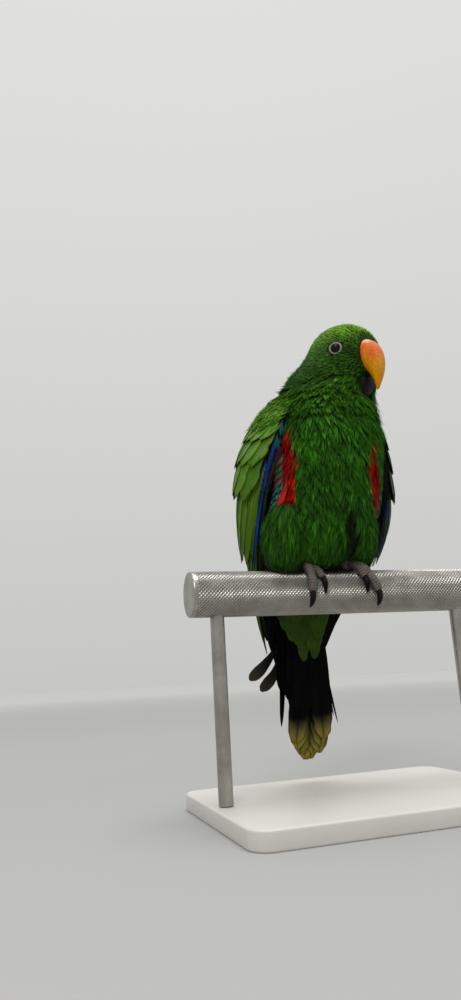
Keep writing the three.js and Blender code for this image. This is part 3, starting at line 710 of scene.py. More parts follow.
def thighCoat():
    look = thighLook
    bundle = Bundle()
    for number, thigh in enumerate(thighs.values()):
        r = np.random.default_rng(70 + number)
        roots = []
        for i in range(look["rows"]):
            for j in range(look["around"]):
                u = (i + 0.3) / look["rows"] + r.uniform(-0.02, 0.02)
                roots.append((u, (j + 0.5 * (i % 2) + r.uniform(-0.25, 0.25)) / look["around"]))
        start, turn = np.array(roots).T
        stretch = curveAt(thigh["path"], np.linspace(0, 1, 40))
        stretch = np.linalg.norm(np.diff(stretch, axis=0), axis=-1).sum()
        bend = r.normal(0, 0.14, len(start))
        stick = r.normal(0.5, 1.0, len(start))
        rows, sides, normals = [], [], []
        for k in np.arange(5) / 4:
            u = np.minimum(start + k * look["length"] / stretch, 1.0 + 0.04 * k)
            level = -2.9 + 3.6 * min(1, 1.1 * k) + k**2 * stick
            point, along, outwards = onThigh(thigh, u, turn * 2 * math.pi + bend * k, level)
            rows.append(point)
            sides.append(np.cross(along, outwards))
            normals.append(outwards)
        rows, sides, normals = (np.stack(x, 1) for x in (rows, sides, normals))
        colour = greens["belly"] * (1 + 0.2 * wander(rows[:, 2], 14, 4))[:, None]
        bake = np.stack([0.74 + turn * 0.1 + 0.12 * number, 0.1 + start * 0.3], -1)
        # roots in a darkened colour: painted shade deep in the plumage
        bundle.add(*barbParts(rows, sides, normals, look, colour * 0.16, colour * 1.3, bake, 90 + number))
    bundle.make("thighCoat", plumeBody, "plumage_body")


thighCoat()
print("coat ready")

# Stiff feathers
strips = itertools.count()


def stripPlace(u, x):  # each stiff feather has its own strip of the map
    number = next(strips)
    col, row = number % 40, number // 40 % 14
    return np.stack([(col + 0.5 + 0.42 * x) / 40, (row + 0.04 + 0.92 * u) / 14], -1)


def notched(notches, u, x, steps, other, depth, start):  # small gaps in a feather's edges
    gap = notches[(np.floor(u * steps) + other * (x > 0)).astype(int)] > 0.82
    return 1 - depth * gap * (u > start) * (np.abs(x) > 0.9)


def leaf(bundle, place, alongSteps, acrossSteps, thick, topColour, underColour, length, half):
    u, x = np.meshgrid(np.linspace(0, 1, alongSteps), np.linspace(-1, 1, acrossSteps), indexing="ij")
    centre, normal = place(u, x)
    ridge = 0.32 * np.exp(-((x / 0.16) ** 2)) * (1 - 0.7 * u)
    thin = thick * (1 - 0.55 * np.abs(x) ** 2)
    top = centre + normal * (thin / 2 + ridge)[..., None]
    under = centre - normal * (thin / 2 + 0.5 * ridge)[..., None]
    n = alongSteps * acrossSteps
    points = np.vstack([top.reshape(-1, 3), under.reshape(-1, 3)])
    first = gridFaces(alongSteps, acrossSteps)
    second = gridFaces(alongSteps, acrossSteps, flip=True) + n
    rim = np.concatenate([
        np.arange(acrossSteps),
        np.arange(1, alongSteps) * acrossSteps + acrossSteps - 1,
        (alongSteps - 1) * acrossSteps + np.arange(acrossSteps - 2, -1, -1),
        np.arange(alongSteps - 2, 0, -1) * acrossSteps,
    ])
    nextRim = np.roll(rim, -1)
    edge = np.stack([rim, nextRim, nextRim + n, rim + n], -1)
    quads = np.vstack([first, second, edge])
    a, b, _, d = points[quads[0]]
    if np.cross(b - a, d - a) @ normal[0, 0] < 0:
        quads = quads[:, ::-1]
    colour = np.vstack([topColour(u, x).reshape(-1, 3), underColour(u, x).reshape(-1, 3)])
    strip = stripPlace(u, x).reshape(-1, 2)
    grain = np.stack([x * half, u * length, np.full(u.shape, dice.uniform(0, 40))], -1).reshape(-1, 3)
    bundle.add(points, [quads], colour, np.vstack([strip, strip]), np.vstack([grain, grain]))


def vaneWidth(kind, u):  # share of the half width along a feather
    shapes = {
        "round": ([0, 0.12, 0.4, 0.7, 0.88, 0.96, 1], [0.4, 0.72, 1, 1, 0.8, 0.5, 0.12]),
        "long": ([0, 0.15, 0.4, 0.7, 0.9, 0.97, 1], [0.4, 0.8, 1, 0.96, 0.68, 0.36, 0.08]),
        "tail": ([0, 0.2, 0.5, 0.8, 0.93, 0.98, 1], [0.45, 0.8, 1, 1.02, 0.86, 0.55, 0.16]),
    }
    return np.interp(u, *shapes[kind])


wingLines = {
    "right": {
        "front": [
            (-44, -15, 134), (-58, -17, 100), (-65, -6, 62), (-62, 14, 22), (-49, 43, -24), (-32, 59, -74),
        ],
        "crest": [(-51, 13, 146), (-71, 16, 106), (-74, 22, 64), (-63, 36, 24), (-46, 54, -22), (-25, 66, -74)],
        "back": [(-34, 36, 152), (-29, 52, 114), (-26, 58, 70), (-24, 61, 26), (-22, 65, -22), (-14, 69, -70)],
    },
    "left": {
        "front": [(40, -14, 134), (46, -13, 100), (46, -4, 62), (38, 18, 22), (15, 47, -24), (0, 60, -74)],
        "crest": [(46, 12, 148), (53, 16, 106), (55, 22, 64), (43, 38, 24), (13, 58, -22), (-7, 67, -74)],
        "back": [(31, 37, 152), (22, 53, 114), (12, 58, 70), (5, 62, 26), (-6, 67, -22), (-18, 70, -70)],
    },
}


def wingPoint(side, s, t, height):
    lines = wingLines[side]

    def place(ss, tt):
        f, b = curveAt(lines["front"], ss), curveAt(lines["back"], ss)
        pull = 2 * curveAt(lines["crest"], ss) - 0.5 * f - 0.5 * b
        tt = tt[..., None]
        return f * (1 - tt) ** 2 + pull * 2 * tt * (1 - tt) + b * tt**2

    s, t = np.broadcast_arrays(np.asarray(s, float), np.asarray(t, float))
    across = place(s, t + 0.01) - place(s, t - 0.01)
    down = place(s + 0.01, t) - place(s - 0.01, t)
    normal = unit(np.cross(across, down)) * (-1 if side == "left" else 1)
    return place(s, t) + normal * np.asarray(height)[..., None], normal, unit(across), unit(down)


# s runs from the bend of the wing to its tip, t from its front edge to the back
wingRows = {
    "primary": {
        "count": 10, "root": [[0.27, 0.04], [0.32, 0.46]], "tip": [[1.0, 0.18], [0.9, 0.9]],
        "half": 6.6, "slope": 9, "sink": 4.4, "kind": "long",
    },
    "secondary": {
        "count": 10, "root": [[0.25, 0.12], [0.22, 0.95]], "tip": [[0.88, 0.2], [0.76, 0.95]],
        "half": 8.4, "slope": 15, "sink": 0.6, "kind": "long",
    },
    "primaryCovert": {
        "count": 4, "root": [[0.1, 0.01], [0.14, 0.1]], "tip": [[0.6, 0.015], [0.56, 0.09]],
        "half": 3.8, "slope": 17, "sink": 0, "kind": "long",
    },
    "greaterCovert": {
        "count": 9, "root": [[0.13, 0.11], [0.11, 0.95]], "tip": [[0.6, 0.15], [0.5, 0.95]],
        "half": 8.8, "slope": 17, "sink": 0, "kind": "long",
    },
    "medianCovert": {
        "count": 7, "root": [[0.05, 0.12], [0.04, 0.94]], "tip": [[0.36, 0.14], [0.33, 0.94]],
        "half": 9.6, "slope": 17, "sink": -0.2, "kind": "round",
    },
    "lesserCovert": {
        "count": 8, "root": [[0.0, 0.1], [-0.01, 0.95]], "tip": [[0.24, 0.11], [0.23, 0.95]],
        "half": 8.8, "slope": 17, "sink": -0.3, "kind": "round",
    },
    "shoulder": {
        "count": 9, "root": [[-0.04, 0.1], [-0.05, 0.95]], "tip": [[0.14, 0.1], [0.14, 0.95]],
        "half": 8, "slope": 17, "sink": -0.5, "kind": "round",
    },
}
wingColours = {
    "green": tint(70, 116, 18),
    "greenEdge": tint(124, 148, 36),
    "greenDark": tint(24, 54, 12),
    "blue": tint(24, 70, 160),
    "violet": tint(20, 22, 72),
    "black": tint(9, 9, 13),
    "turquoise": tint(30, 124, 128),
    "brown": tint(98, 86, 76),
    "teal": tint(24, 92, 72),
    "red": tint(168, 16, 12),
    "strayDark": tint(20, 17, 15),
    "strayPale": tint(74, 64, 54),
}


def rowColours(side, name, i):
    c = wingColours
    wobble = dice.uniform(0.82, 1.16)

    def top(u, x):
        out = between(-x, -0.1, 0.3)  # the web towards the front edge
        if name == "primary":
            # on the left wing the first feathers are painted black, darker than their own blue and green:
            # painted shade on that wing's front edge
            web = c["black"] if side == "left" and not i else c["green"] * (1 if i else 0.4)
            web = mix(web, c["black"], between(u, 0.62, 0.95))
            return mix(c["black"], web * wobble, out)
        if name == "primaryCovert":
            # painted shade on the left wing's front edge
            if side == "left" and i < 2:
                return mix(c["black"], c["violet"], 0.4 * out)
            base = mix(c["violet"], c["blue"] * wobble, out if i else between(-x, 0.0, 0.6))
            if i and side == "right":
                base = mix(base, c["green"] * wobble, between(u, 0.25, 0.42))
            return mix(base, c["black"], between(u, 0.55, 1.0) * 0.5)
        edge = between(np.abs(x), 0.62, 1.0) * 0.6 + between(u, 0.88, 1.0) * 0.5
        base = c["green"] * wobble * (0.62 + 0.45 * u[..., None])
        if name == "secondary":
            base = mix(base, c["black"], between(x, 0.15, 0.6) * 0.92)
            band = between(-x, 0.1, 0.5) * (1 - between(-x, 0.6, 0.9)) * 0.25 * (i < 4)
            base = mix(base, c["teal"], band)
            edge = between(-x, 0.6, 1.0) * 0.7
        base = mix(base, c["greenDark"], np.exp(-((x / 0.12) ** 2)) * 0.5 * (1 - u))
        # painted shade on the left wing's front edge: its first feathers are painted black
        if side == "left" and i == 0:
            base = mix(base, c["black"], between(-x, -0.6, 0.2))
            edge = edge * 0.15
        return mix(base, c["greenEdge"] * wobble, np.clip(edge, 0, 1))

    def under(u, x):
        return c["black"] * (1.0 + 0.5 * between(np.abs(x), 0.6, 1))[..., None]

    return top, under


def wingFeather(bundle, side, name, row, i):
    count = row["count"]
    long = row["kind"] == "long"

    def pick(end, part, k):  # part 0 is s and 1 is t, k is the feather's number
        first, last = row[end]
        return first[part] + (last[part] - first[part]) * k * (1 / (count - 1))

    spread = dice.uniform(-0.12, 0.12)
    tipShift = dice.uniform(-0.012, 0.012)
    rootS, tipS = pick("root", 0, i), pick("tip", 0, i) + tipShift
    notches = dice.uniform(0, 1, 400)

    def tAt(u, k):
        return pick("root", 1, k) + (pick("tip", 1, k) - pick("root", 1, k)) * u

    middle = np.full(2, 0.5 * (rootS + tipS))
    ends = wingPoint(side, middle, tAt(0.6, i) + vec(0.01, -0.01), np.zeros(2))[0]
    across = np.linalg.norm(ends[0] - ends[1]) / 0.02

    def place(u, x):
        s = rootS + (tipS - rootS) * u
        spacing = tAt(u, i + 1) - tAt(u, i)
        reach = row["half"] * vaneWidth(row["kind"], u) * notched(notches, u, x, 23, 30, 0.16, 0.3) / across
        rise = (s - row["tip"][0][0]) * row["slope"] - row["sink"] - 2.6 * (1 - smooth(u * 3))
        rounding = 0 if long else -0.03 * (tipS - rootS) * x**2 * u**2
        curl = 0.25 * (1 - np.abs(x)) * between(u, 0.2, 0.8)
        # each feather's front edge lies over the one before it
        lap = 0.9 * x * reach / np.maximum(spacing, 0.03) * min(1, 0.6 + 0.05 * count)
        t = tAt(u, i) + x * reach + spread * 0.02 * u
        return wingPoint(side, s + rounding, t, rise - lap + curl)[:2]

    top, under = rowColours(side, name, i)
    leaf(bundle, place, 24 if long else 13, 9, 0.32, top, under, 40 * (tipS - rootS) / 0.16, row["half"])


def wingCore(bundle, side):
    s = np.linspace(-0.03, 0.46, 22)
    plump = np.sin(math.pi * (0.12 + 0.85 * np.linspace(0, 1, 22))) ** 0.6
    skinHeight = -5.0 - 8 * np.maximum(0, s) - 2.5 * (1 - plump)
    rows = [wingPoint(side, s, t + 0 * s, skinHeight)[0] for t in np.linspace(0.02, 0.97, 16)]
    for t in np.linspace(0.97, 0.02, 12):
        drop = 1.5 + 20 * plump * np.sin(math.pi * (0.16 + 0.68 * t))
        rows.append(wingPoint(side, s, t + 0 * s, skinHeight - drop)[0])
    rings = np.stack(rows, 1)
    points, faces = shellParts(rings, rings[0].mean(0), rings[-1].mean(0))
    # the core is painted very dark: painted shade in the gaps between the feathers
    bundle.add(points, faces, wingColours["greenDark"] * 0.5)


def liningColour(side, i, j, s, w):
    c = wingColours
    if side == "left":
        if s < 0.06:
            return c["turquoise"] if i % 2 else c["black"]
        if w < 0.34 or s >= 0.36:
            return c["black"]
        return c["green"] * 0.6 if s < 0.26 else c["turquoise"]
    if s < 0.09:
        return c["turquoise"] if (i + j) % 3 else c["black"]
    if w < 0.42:
        return c["blue"] if w < 0.32 else c["violet"]
    if s < 0.25:
        return c["brown"] if w < 0.9 else c["teal"]
    return c["turquoise"] if (i * 7 + j) % 3 else c["teal"]


# Small feathers inside the wing's front edge, which the half-open wing shows
def liningFeathers(bundle, side):
    rows, count = 5, 22
    for j, i in itertools.product(range(rows), range(count)):
        s0 = -0.03 + 0.5 * i / count + 0.011 * (j % 2) + dice.uniform(-0.004, 0.004)
        w0, lean, layer = 0.02 + 0.2 * j, 0.12 + 0.03 * j, 0.5 + 0.25 * j
        size, half = 0.075 + 0.02 * (s0 > 0.3), 2.6 + 0.6 * (j > 2)
        colour = liningColour(side, i, j, s0, w0 + lean) * dice.uniform(0.75, 1.2)

        def place(u, x):
            w = w0 + lean * u + x * half * vaneWidth("round", u) / 15
            at, _, across, _ = wingPoint(side, s0 + size * u, 0 * u, -3.2 - 15.5 * w)
            lift = layer + 1.6 * u - 0.8 * (1 - smooth(u * 3)) + 0.35 * (1 - x**2)
            return at - across * lift[..., None], -across

        def top(u, x):
            # darker towards the root and the edges: painted shade where the feathers overlap
            dark = mix(colour * 0.25, colour, between(u, 0.1, 0.8))
            return dark * (1 - 0.3 * between(np.abs(x), 0.7, 1))[..., None]

        leaf(bundle, place, 8, 5, 0.22, top, top, 12, half)


def shoulderCoat():  # loose tufts where the wing leaves the body
    look = {"half": 2.2, "blades": 8, "blade": 0.42, "rise": 1.2, "steps": 3, "close": 0.5}
    bundle = Bundle()
    for number, side in enumerate(("right", "left")):
        r = np.random.default_rng(60 + number)
        spots = [(-0.12 + 0.02 * i, (j + 0.5 * (i % 2)) / 24) for i in range(9) for j in range(25)]
        s0, t0 = (np.array(spots) + r.normal(0, 0.006, (len(spots), 2))).T
        keep = (t0 < 1.0) & (s0 < 0.02 + 0.035 * r.random(len(s0)))
        s0, t0 = s0[keep], t0[keep]
        stick = r.normal(0.6, 0.7, len(s0))
        rows, sides, normals = [], [], []
        for k in range(5):
            u = k / 4
            along = s0 + 0.07 * u
            height = -2.4 + 3.0 * u + stick * u**2
            onWing, normal, across, _ = wingPoint(side, along, t0, height + 15 * np.maximum(along - 0.02, 0))
            onBody = settle(onWing, height - 0.6, 3)
            share = smooth((along + 0.075) / 0.1)[:, None]
            rows.append(onBody * (1 - share) + onWing * share)
            sides.append(across)
            normals.append(unit(slopeOf(rows[-1]) * (1 - share) + normal * share))
        rows, sides, normals = (np.stack(x, 1) for x in (rows, sides, normals))
        green = mix(greens["nape"], wingColours["green"], between(s0, -0.06, 0.03))
        colour = green * (1 + 0.22 * wander(rows[:, 2], 8, 4))[:, None]
        bake = np.stack([0.72 + 0.13 * number + 0.12 * t0, 0.5 + s0], -1)
        # roots in a darkened colour: painted shade deep in the plumage
        bundle.add(*barbParts(rows, sides, normals, look, colour * 0.3, colour * 1.2, bake, 80 + number))
    bundle.make("shoulderCoat", plumeBody, "plumage_green")


# Small scale-like feathers and a few long red ones where the flank meets the wing
def flankFeathers(bundle):
    c = wingColours
    for row in range(9):
        for col in range(4):
            z = 104 - 5.4 * row + dice.uniform(-0.8, 0.8)
            base = vec(-51 - 2.2 * col, -19 + 4.2 * col + 0.12 * (104 - z), z)
            if col == 0 and row < 4:
                continue
            if row < 4:
                colour = c["brown"] if (row + col) % 3 else c["teal"]
            else:
                colour = c["turquoise"] if (row * 2 + col) % 3 else c["teal"]
            flankLeaf(bundle, base, 9.5, 2.9, 1.0, colour)
    for k in range(3):
        flankLeaf(bundle, vec(-50 - 1.8 * k, -21 + 3 * k, 86 - 5 * k), 25, 2.1, 1.6 + 0.3 * k, c["red"])


def flankLeaf(bundle, base, length, half, lift, colour):
    start = settle(base[None], lift, 3)[0]
    normal = unit(slopeOf(start[None]))[0]
    down = vec(-0.1, 0.05, -1)
    down = unit(down - normal * (down @ normal))
    side = np.cross(normal, down)
    colour = colour * dice.uniform(0.75, 1.2)

    def place(u, x):
        at = start + down * (u * length)[..., None] + side * (x * half * vaneWidth("round", u))[..., None]
        return settle(at, lift - 1.2 + 2.0 * u - 0.5 * x**2, 1), np.broadcast_to(normal, at.shape)

    def shade(u, x):
        # darker towards the root and along the edges near the tip: painted shade where the feathers overlap
        dark = mix(colour * 0.2, colour, between(u, 0.1, 0.7))
        return dark * (1 - 0.6 * between(np.abs(x), 0.5, 1) * between(u, 0.5, 1))[..., None]

    leaf(bundle, place, 9, 5, 0.22, shade, shade, length, half)


strays = [
    {"s": 0.86, "t": 0.5, "to": (-55, 62, -61), "half": 4.8},
    {"s": 0.89, "t": 0.66, "to": (-45, 65, -70), "half": 4.8},
    {"s": 0.88, "t": 0.62, "to": (-40, 66.5, -68), "half": 4.2},
]


def strayFeather(bundle, stray):
    start = wingPoint("right", np.array(stray["s"]), np.array(stray["t"]), np.array(-9.0))[0]
    way = vec(*stray["to"]) - start
    length = np.linalg.norm(way)
    way = way / length
    normal = unit(vec(0, 1, 0) - way * way[1])
    side = np.cross(way, normal)

    def place(u, x):
        reach = stray["half"] * np.interp(u, [0, 0.3, 0.7, 0.9, 1], [0.25, 0.6, 1, 0.9, 0.25])
        bend = 1.5 * np.sin(u * 3.1)
        at = start + way * (u * length)[..., None] + side * (x * reach + bend)[..., None]
        return at + normal * (0.8 * x**2)[..., None], np.broadcast_to(normal, at.shape)

    def shade(u, x):
        return mix(wingColours["strayDark"], wingColours["strayPale"], between(u, 0.4, 1.0) * 0.7)

    leaf(bundle, place, 14, 7, 0.4, shade, shade, length, stray["half"])


for side in ("right", "left"):
    bundle = Bundle()
    wingCore(bundle, side)
    for name, row in wingRows.items():
        for i in range(row["count"]):
            wingFeather(bundle, side, name, row, i)
    liningFeathers(bundle, side)
    if side == "right":
        flankFeathers(bundle)
        for stray in strays:
            strayFeather(bundle, stray)
    bundle.make(side + "Wing", plumeWing, "plumage_wing", ("wing_" + side,))

shoulderCoat()


# Tail
tailLook = {
    "root": vec(-11, 35, 8), "length": 134, "lean": 11.4, "fan": 6.4, "bias": -0.3, "pairs": 6,
    # how far to the right of the bird they start, angle, length, half width and layer
    "outer": [
        (21, 2, 78, 5, -2), (17, 1, 86, 6, -3), (12, 1, 93, 6.5, -4.2), (7, 1.5, 98, 6.5, -5),
        (16, -0.6, 103, 5.5, -4.6), (18.5, 1.4, 108, 2.6, 3), (0, -13.2, 106, 1.3, 5), (0, -14.2, 112, 1.2, 4),
    ],
    "half": 9.0, "dark": tint(5, 5, 8), "tip": tint(112, 104, 58), "end": tint(160, 148, 58),
    "sheen": tint(24, 60, 24),
}
underLook = {
    "root": vec(-20, 24.6, 8), "lean": 11,
    "rows": [
        (12, 22.5, 26, 10, -0.3, 0), (11, 19.5, 35, 9, 0.5, 1), (9, 15, 43, 7, 1.3, 2.4),
        (6, 10.5, 50, 3, 2.1, 4.2), (2, 5.6, 59, 0, 3.0, 6),
    ],
    "cleftShade": tint(30, 24, 8), "green": tint(46, 76, 10), "edge": tint(66, 90, 16), "dark": tint(22, 40, 8),
}


def hangingFeather(bundle, start, angle, first, length, half, layer, lean, kind, top, under, cup=0.0):
    lean, angle = math.radians(lean), math.radians(angle)
    down = unit(vec(-math.sin(angle), math.sin(lean), -math.cos(lean)))
    normal = vec(0, math.cos(lean), math.sin(lean))
    side = unit(np.cross(down, normal))
    notches = dice.uniform(0, 1, 80)
    bend = dice.uniform(-1.2, 1.2)

    def place(u, x):
        reach = half * vaneWidth(kind, u) * notched(notches, u, x, 30, 35, 0.14, 0.35)
        at = start + down * (first + (length - first) * u)[..., None]
        at = at + side * (x * reach + bend * u**2)[..., None]
        return at + normal * (layer - cup * x**2)[..., None], np.broadcast_to(normal, at.shape)

    leaf(bundle, place, 26, 9, 0.3, top, under, length, half)


def makeTail():
    bundle = Bundle()
    look = tailLook
    green = wingColours["green"]

    def shades():
        dark, tip, end, sheen = (look[key] for key in ("dark", "tip", "end", "sheen"))
        wobble = dice.uniform(0.8, 1.2)

        def under(u, x):
            colour = dark * wobble * (1 + 0.5 * between(np.abs(x), 0.5, 1))[..., None]
            colour = mix(colour, tip * wobble, between(u + 0.04 * x**2, 0.85, 0.95))
            colour = mix(colour, end * wobble, between(u + 0.02 * x**2, 0.94, 1.0))
            line = np.exp(-((x / 0.09) ** 2)) + between(np.abs(x), 0.82, 1)
            return colour * (1 - 0.6 * np.minimum(line, 1))[..., None]

        def top(u, x):
            colour = mix(sheen * wobble, dark, between(u, 0.35, 0.85))
            return mix(colour, tip * wobble, between(u, 0.9, 0.99))

        return top, under

    def plain(u, x):
        return np.broadcast_to(look["dark"], (*u.shape, 3))

    def greenOf(u, x):
        return mix(green * 0.6, green, u)

    def hang(start, angle, first, length, half, layer, kind, top, under, cup=0.0):
        hangingFeather(bundle, start, angle, first, length, half, layer, look["lean"], kind, top, under, cup)

    for i in range(look["pairs"]):
        for sign in (-1, 1):
            k = (i + 0.35) / look["pairs"]
            length = look["length"] * (1 - 0.13 * k * k) + dice.uniform(-1.5, 1.5)
            layer = 4 - 1.55 * i - (0.78 if sign > 0 else 0)
            angle = sign * look["fan"] * k + look["bias"]
            hang(look["root"], angle, 0, length, look["half"], layer, "tail", *shades(), 0.5)
    # dark outer feathers between the wing's tip and the tail, and thin loose ones
    for right, angle, length, half, layer in look["outer"]:
        hang(look["root"] - vec(right, 0, 0), angle, 0, length, half, layer, "long", plain, plain, 0.3)
    for i, k in enumerate(np.linspace(-1, 1, 7)):
        start = look["root"] + vec(6 * k, 8, 4)
        hang(start, 3 * k, -4, 50 - 10 * k * k, 6.5, 0.9 * (i % 2), "round", greenOf, greenOf)
    path = [(-11, 33, 20), (-11, 34, 4), (-11, 37, -14), (-11, 41, -32)]
    rows, at = tubeRings(path, [8, 11, 8, 3], 14, 20, 0.4)
    bundle.add(*shellParts(rows, at[0], at[-1]), look["dark"])
    bundle.make("tailFeathers", plumeTail, "plumage_tail", ("tail",))


def makeUndertail():
    bundle = Bundle()
    look = underLook
    for count, spread, length, turn, layer, shift in look["rows"]:
        for i in range(count):
            k = -1 + 2 * i / (count - 1)
            wobble = dice.uniform(0.8, 1.15)

            def colour(u, x):
                # darker at the root and along the central cleft: painted shade where the coverts overlap and in
                # the gap between them
                base = mix(look["dark"] * wobble, look["green"] * wobble, between(u, 0.1, 0.7))
                cleftShade = 0.85 * np.exp(-((k - 0.12 + 0.12 * x) / 0.13) ** 2) * (1 - 0.5 * u)
                edge = between(np.abs(x), 0.5, 1) * 0.4 + between(u, 0.85, 1) * 0.25
                return mix(mix(base, look["cleftShade"], cleftShade), look["edge"] * wobble, edge)

            start = look["root"] + vec(shift + spread * k + dice.uniform(-0.6, 0.6), 0, dice.uniform(-2, 2))
            hangingFeather(
                bundle, start, turn * k + dice.uniform(-1, 1), 0, length * dice.uniform(0.94, 1.04), 5.6,
                layer + 0.7 * (i % 2), look["lean"], "round", colour, colour, 0.4,
            )
    # a dark core under the coverts: painted shade in the gaps between them
    path = [(-17, 30, 18), (-19, 31.5, 4), (-19, 33, -8), (-19, 35, -20)]
    rows, at = tubeRings(path, [16, 18, 14, 6], 14, 24, 0.2)
    bundle.add(*shellParts(rows, at[0], at[-1]), look["dark"])
    bundle.make("undertailCoverts", plumeWing, "plumage_body", ("undertail_coverts",))


makeTail()
makeUndertail()
print("stiff feathers ready")

# Bill
# ridge and cutting edge from the face to the tip, in the head's own frame, with half widths
upperBill = [
    ((0, -17, 12.6), (0, -15, -10), 9.4),
    ((0, -28, 12.2), (0, -22, -12), 10.8),
    ((0, -36, 8.4), (0, -27.5, -13), 10.6),
    ((0, -41, 1), (0, -31, -16), 9.4),
    ((0, -42.6, -9), (0, -33, -20), 7.2),
    ((0, -40.8, -18.5), (0, -34.5, -24.5), 4.6),
    ((0, -36.6, -28), (0, -35, -29.5), 1.7),
]
lowerBill = [
    ((0, -9, -6), (0, -8, -25), 11),
    ((0, -17, -7.5), (0, -15, -31.5), 12),
    ((0, -24, -10), (0, -22.5, -32.5), 11),
    ((0, -30, -15.5), (0, -28, -28.5), 7.2),
]
billLook = {
    "orange": tint(218, 104, 36), "yellow": tint(212, 142, 0), "pale": tint(206, 180, 160),
    "smudgeAndShade": tint(88, 40, 20), "black": tint(24, 24, 25), "gape": tint(176, 150, 92),
}


def billHalf(stations, steps, sides, flatTop, colourOf):
    u = np.linspace(0, 1, steps)
    ridge, edge = (curveAt([station[k] for station in stations], u) for k in (0, 1))
    half = curveAt([(station[2], 0, 0) for station in stations], u)[:, 0]
    a = np.linspace(0, 2 * math.pi, sides, endpoint=False)
    c = np.cos(a)
    h = np.where(flatTop & (c > 0), 0.72 * c, c)
    rings = ((ridge + edge) / 2)[:, None] + ((ridge - edge) / 2)[:, None] * h[None, :, None]
    # the sides swell above and pinch in towards the cutting edge
    width = np.abs(np.sin(a)) ** 0.8 * (1 + (0 if flatTop else 0.06) * c)
    rings[..., 0] = half[:, None] * np.sign(np.sin(a)) * width
    u, c, a = np.broadcast_arrays(u[:, None], c, a)
    points, faces = shellParts(inHead(rings), inHead(rings[0].mean(0)), inHead(rings[-1].mean(0)))
    colour = colourOf(u, c, rings).reshape(-1, 3)
    grain = np.stack([rings[..., 0], u * 50, c * 5], -1).reshape(-1, 3)
    bake = np.stack([a / 6.2832, u], -1).reshape(-1, 2)
    colour, grain = (np.vstack([x, x[:1], x[-1:]]) for x in (colour, grain))
    bundle = Bundle()
    bundle.add(points, faces, colour, np.vstack([bake, [[0.5, 0]], [[0.5, 1]]]), grain)
    return bundle


def upperColour(u, c, rings):
    look = billLook
    z = rings[..., 2]
    blush = 0.5 * between(wander(rings, 9, 4), 0.2, 0.9) * between(z, -6, 8)
    smudge = 0.3 * between(wander(rings, 4.5, 9), 0.35, 0.9) * between(z, -12, 2)
    shine = 0.08 * between(c, 0.7, 0.97) * between(u, 0.15, 0.4) * (u < 0.8)
    colour = mix(look["orange"], look["yellow"], between(-z + 2.5 * wander(rings, 11, 3), -1, 13))
    colour = mix(colour, look["orange"] * 0.8, blush)
    colour = mix(colour, look["pale"], between(z + 1.2 * wander(rings, 4, 5), 6.2, 9.4) * 0.7)
    colour = mix(colour, look["smudgeAndShade"], smudge)
    colour = mix(colour, look["pale"], shine)
    # darker along the cutting edge: painted shade where the upper bill meets the lower
    colour = mix(colour, look["smudgeAndShade"], 0.75 * between(-c, 0.78, 0.99))
    return colour * (1 + 0.1 * wander(rings, 3.2, 6))[..., None]


def lowerColour(u, c, rings):
    look = billLook
    colour = look["black"] * (1 + 0.35 * wander(rings, 6, 7))[..., None]
    gape = between(rings[..., 2] + wander(rings, 4, 8), -21.5, -19) * between(np.abs(rings[..., 0]), 5, 8)
    return mix(colour, look["gape"], 0.9 * gape * between(0.62 - u, 0, 0.2))


def hornMaterial(name, roughness, coat, streak):
    material, tree, shader = newMaterial(
        name, Specular_IOR_Level=0.1, Coat_Weight=coat, Coat_Roughness=0.2, Subsurface_Weight=0.08,
        Subsurface_Radius=(0.003, 0.0012, 0.0004),
    )
    lines = stretched(tree, grainOf(tree), (0.9, 0.12, 0.6))
    lines = noise(tree, lines, 1.6, 4.0, 0.65)
    flakes = noise(tree, objectPlace(tree), 900.0, 4.0, 0.7)
    shade = rangeOf(tree, lines, 0.3, 0.7, 1 - streak, 1 + streak)
    height = calc(tree, "ADD", lines, calc(tree, "MULTIPLY", flakes, 0.5))
    feed(
        tree, shader, Base_Color=shadedPlume(tree, shade),
        Normal=bumpOf(tree, height, 0.0003, 0.5),
        Roughness=rangeOf(tree, flakes, 0.3, 0.7, roughness - 0.06, roughness + 0.12),
    )
    return material


orangeHorn = hornMaterial("orange bill horn", 0.42, 0.04, 0.2)
blackHorn = hornMaterial("black horn", 0.42, 0.0, 0.3)
billHalf(upperBill, 44, 40, False, upperColour).make("upperBill", orangeHorn, "bill_orange", ("bill_upper",))
billHalf(lowerBill, 26, 36, True, lowerColour).make("lowerBill", blackHorn, "bill_black", ("bill_lower",))


# Eyes
def turned(way):  # axes with the last one along way
    side = unit(np.cross(vec(0, 0, 1), way))
    return np.stack([side, np.cross(way, side), way], 0)


def eyeMaterial():
    material, tree, shader = newMaterial("dark wet eye", Roughness=0.06, Specular_IOR_Level=0.16)
    flecks = rangeOf(tree, noise(tree, objectPlace(tree), 2600.0), 0.3, 0.7, 0.7, 1.3)
    feed(tree, shader, Base_Color=shadedPlume(tree, flecks))
    return material


def lidMaterial():
    material, tree, shader = newMaterial("bare grey eyelid skin", Roughness=0.62)
    cells = node(tree, "ShaderNodeTexVoronoi", Scale=1900.0)
    feed(tree, cells, Vector=objectPlace(tree))
    depth = cells.outputs["Distance"]
    colour = shadedPlume(tree, rangeOf(tree, depth, 0.0, 0.6, 1.15, 0.75))
    feed(tree, shader, Base_Color=colour, Normal=bumpOf(tree, depth, 0.0002, 0.6))
    return material


eyeGloss = eyeMaterial()
lidSkin = lidMaterial()


def ball(rings, sides, gap):  # tilt from one pole, turn round it, and the points of a ball of radius 1
    tilt = np.linspace(gap, math.pi - gap, rings)[:, None]
    turn = np.linspace(0, 2 * math.pi, sides, endpoint=False)[None]
    tilt, turn = np.broadcast_arrays(tilt, turn)
    return tilt, turn, np.stack([np.sin(tilt) * np.cos(turn), np.sin(tilt) * np.sin(turn), np.cos(tilt)], -1)


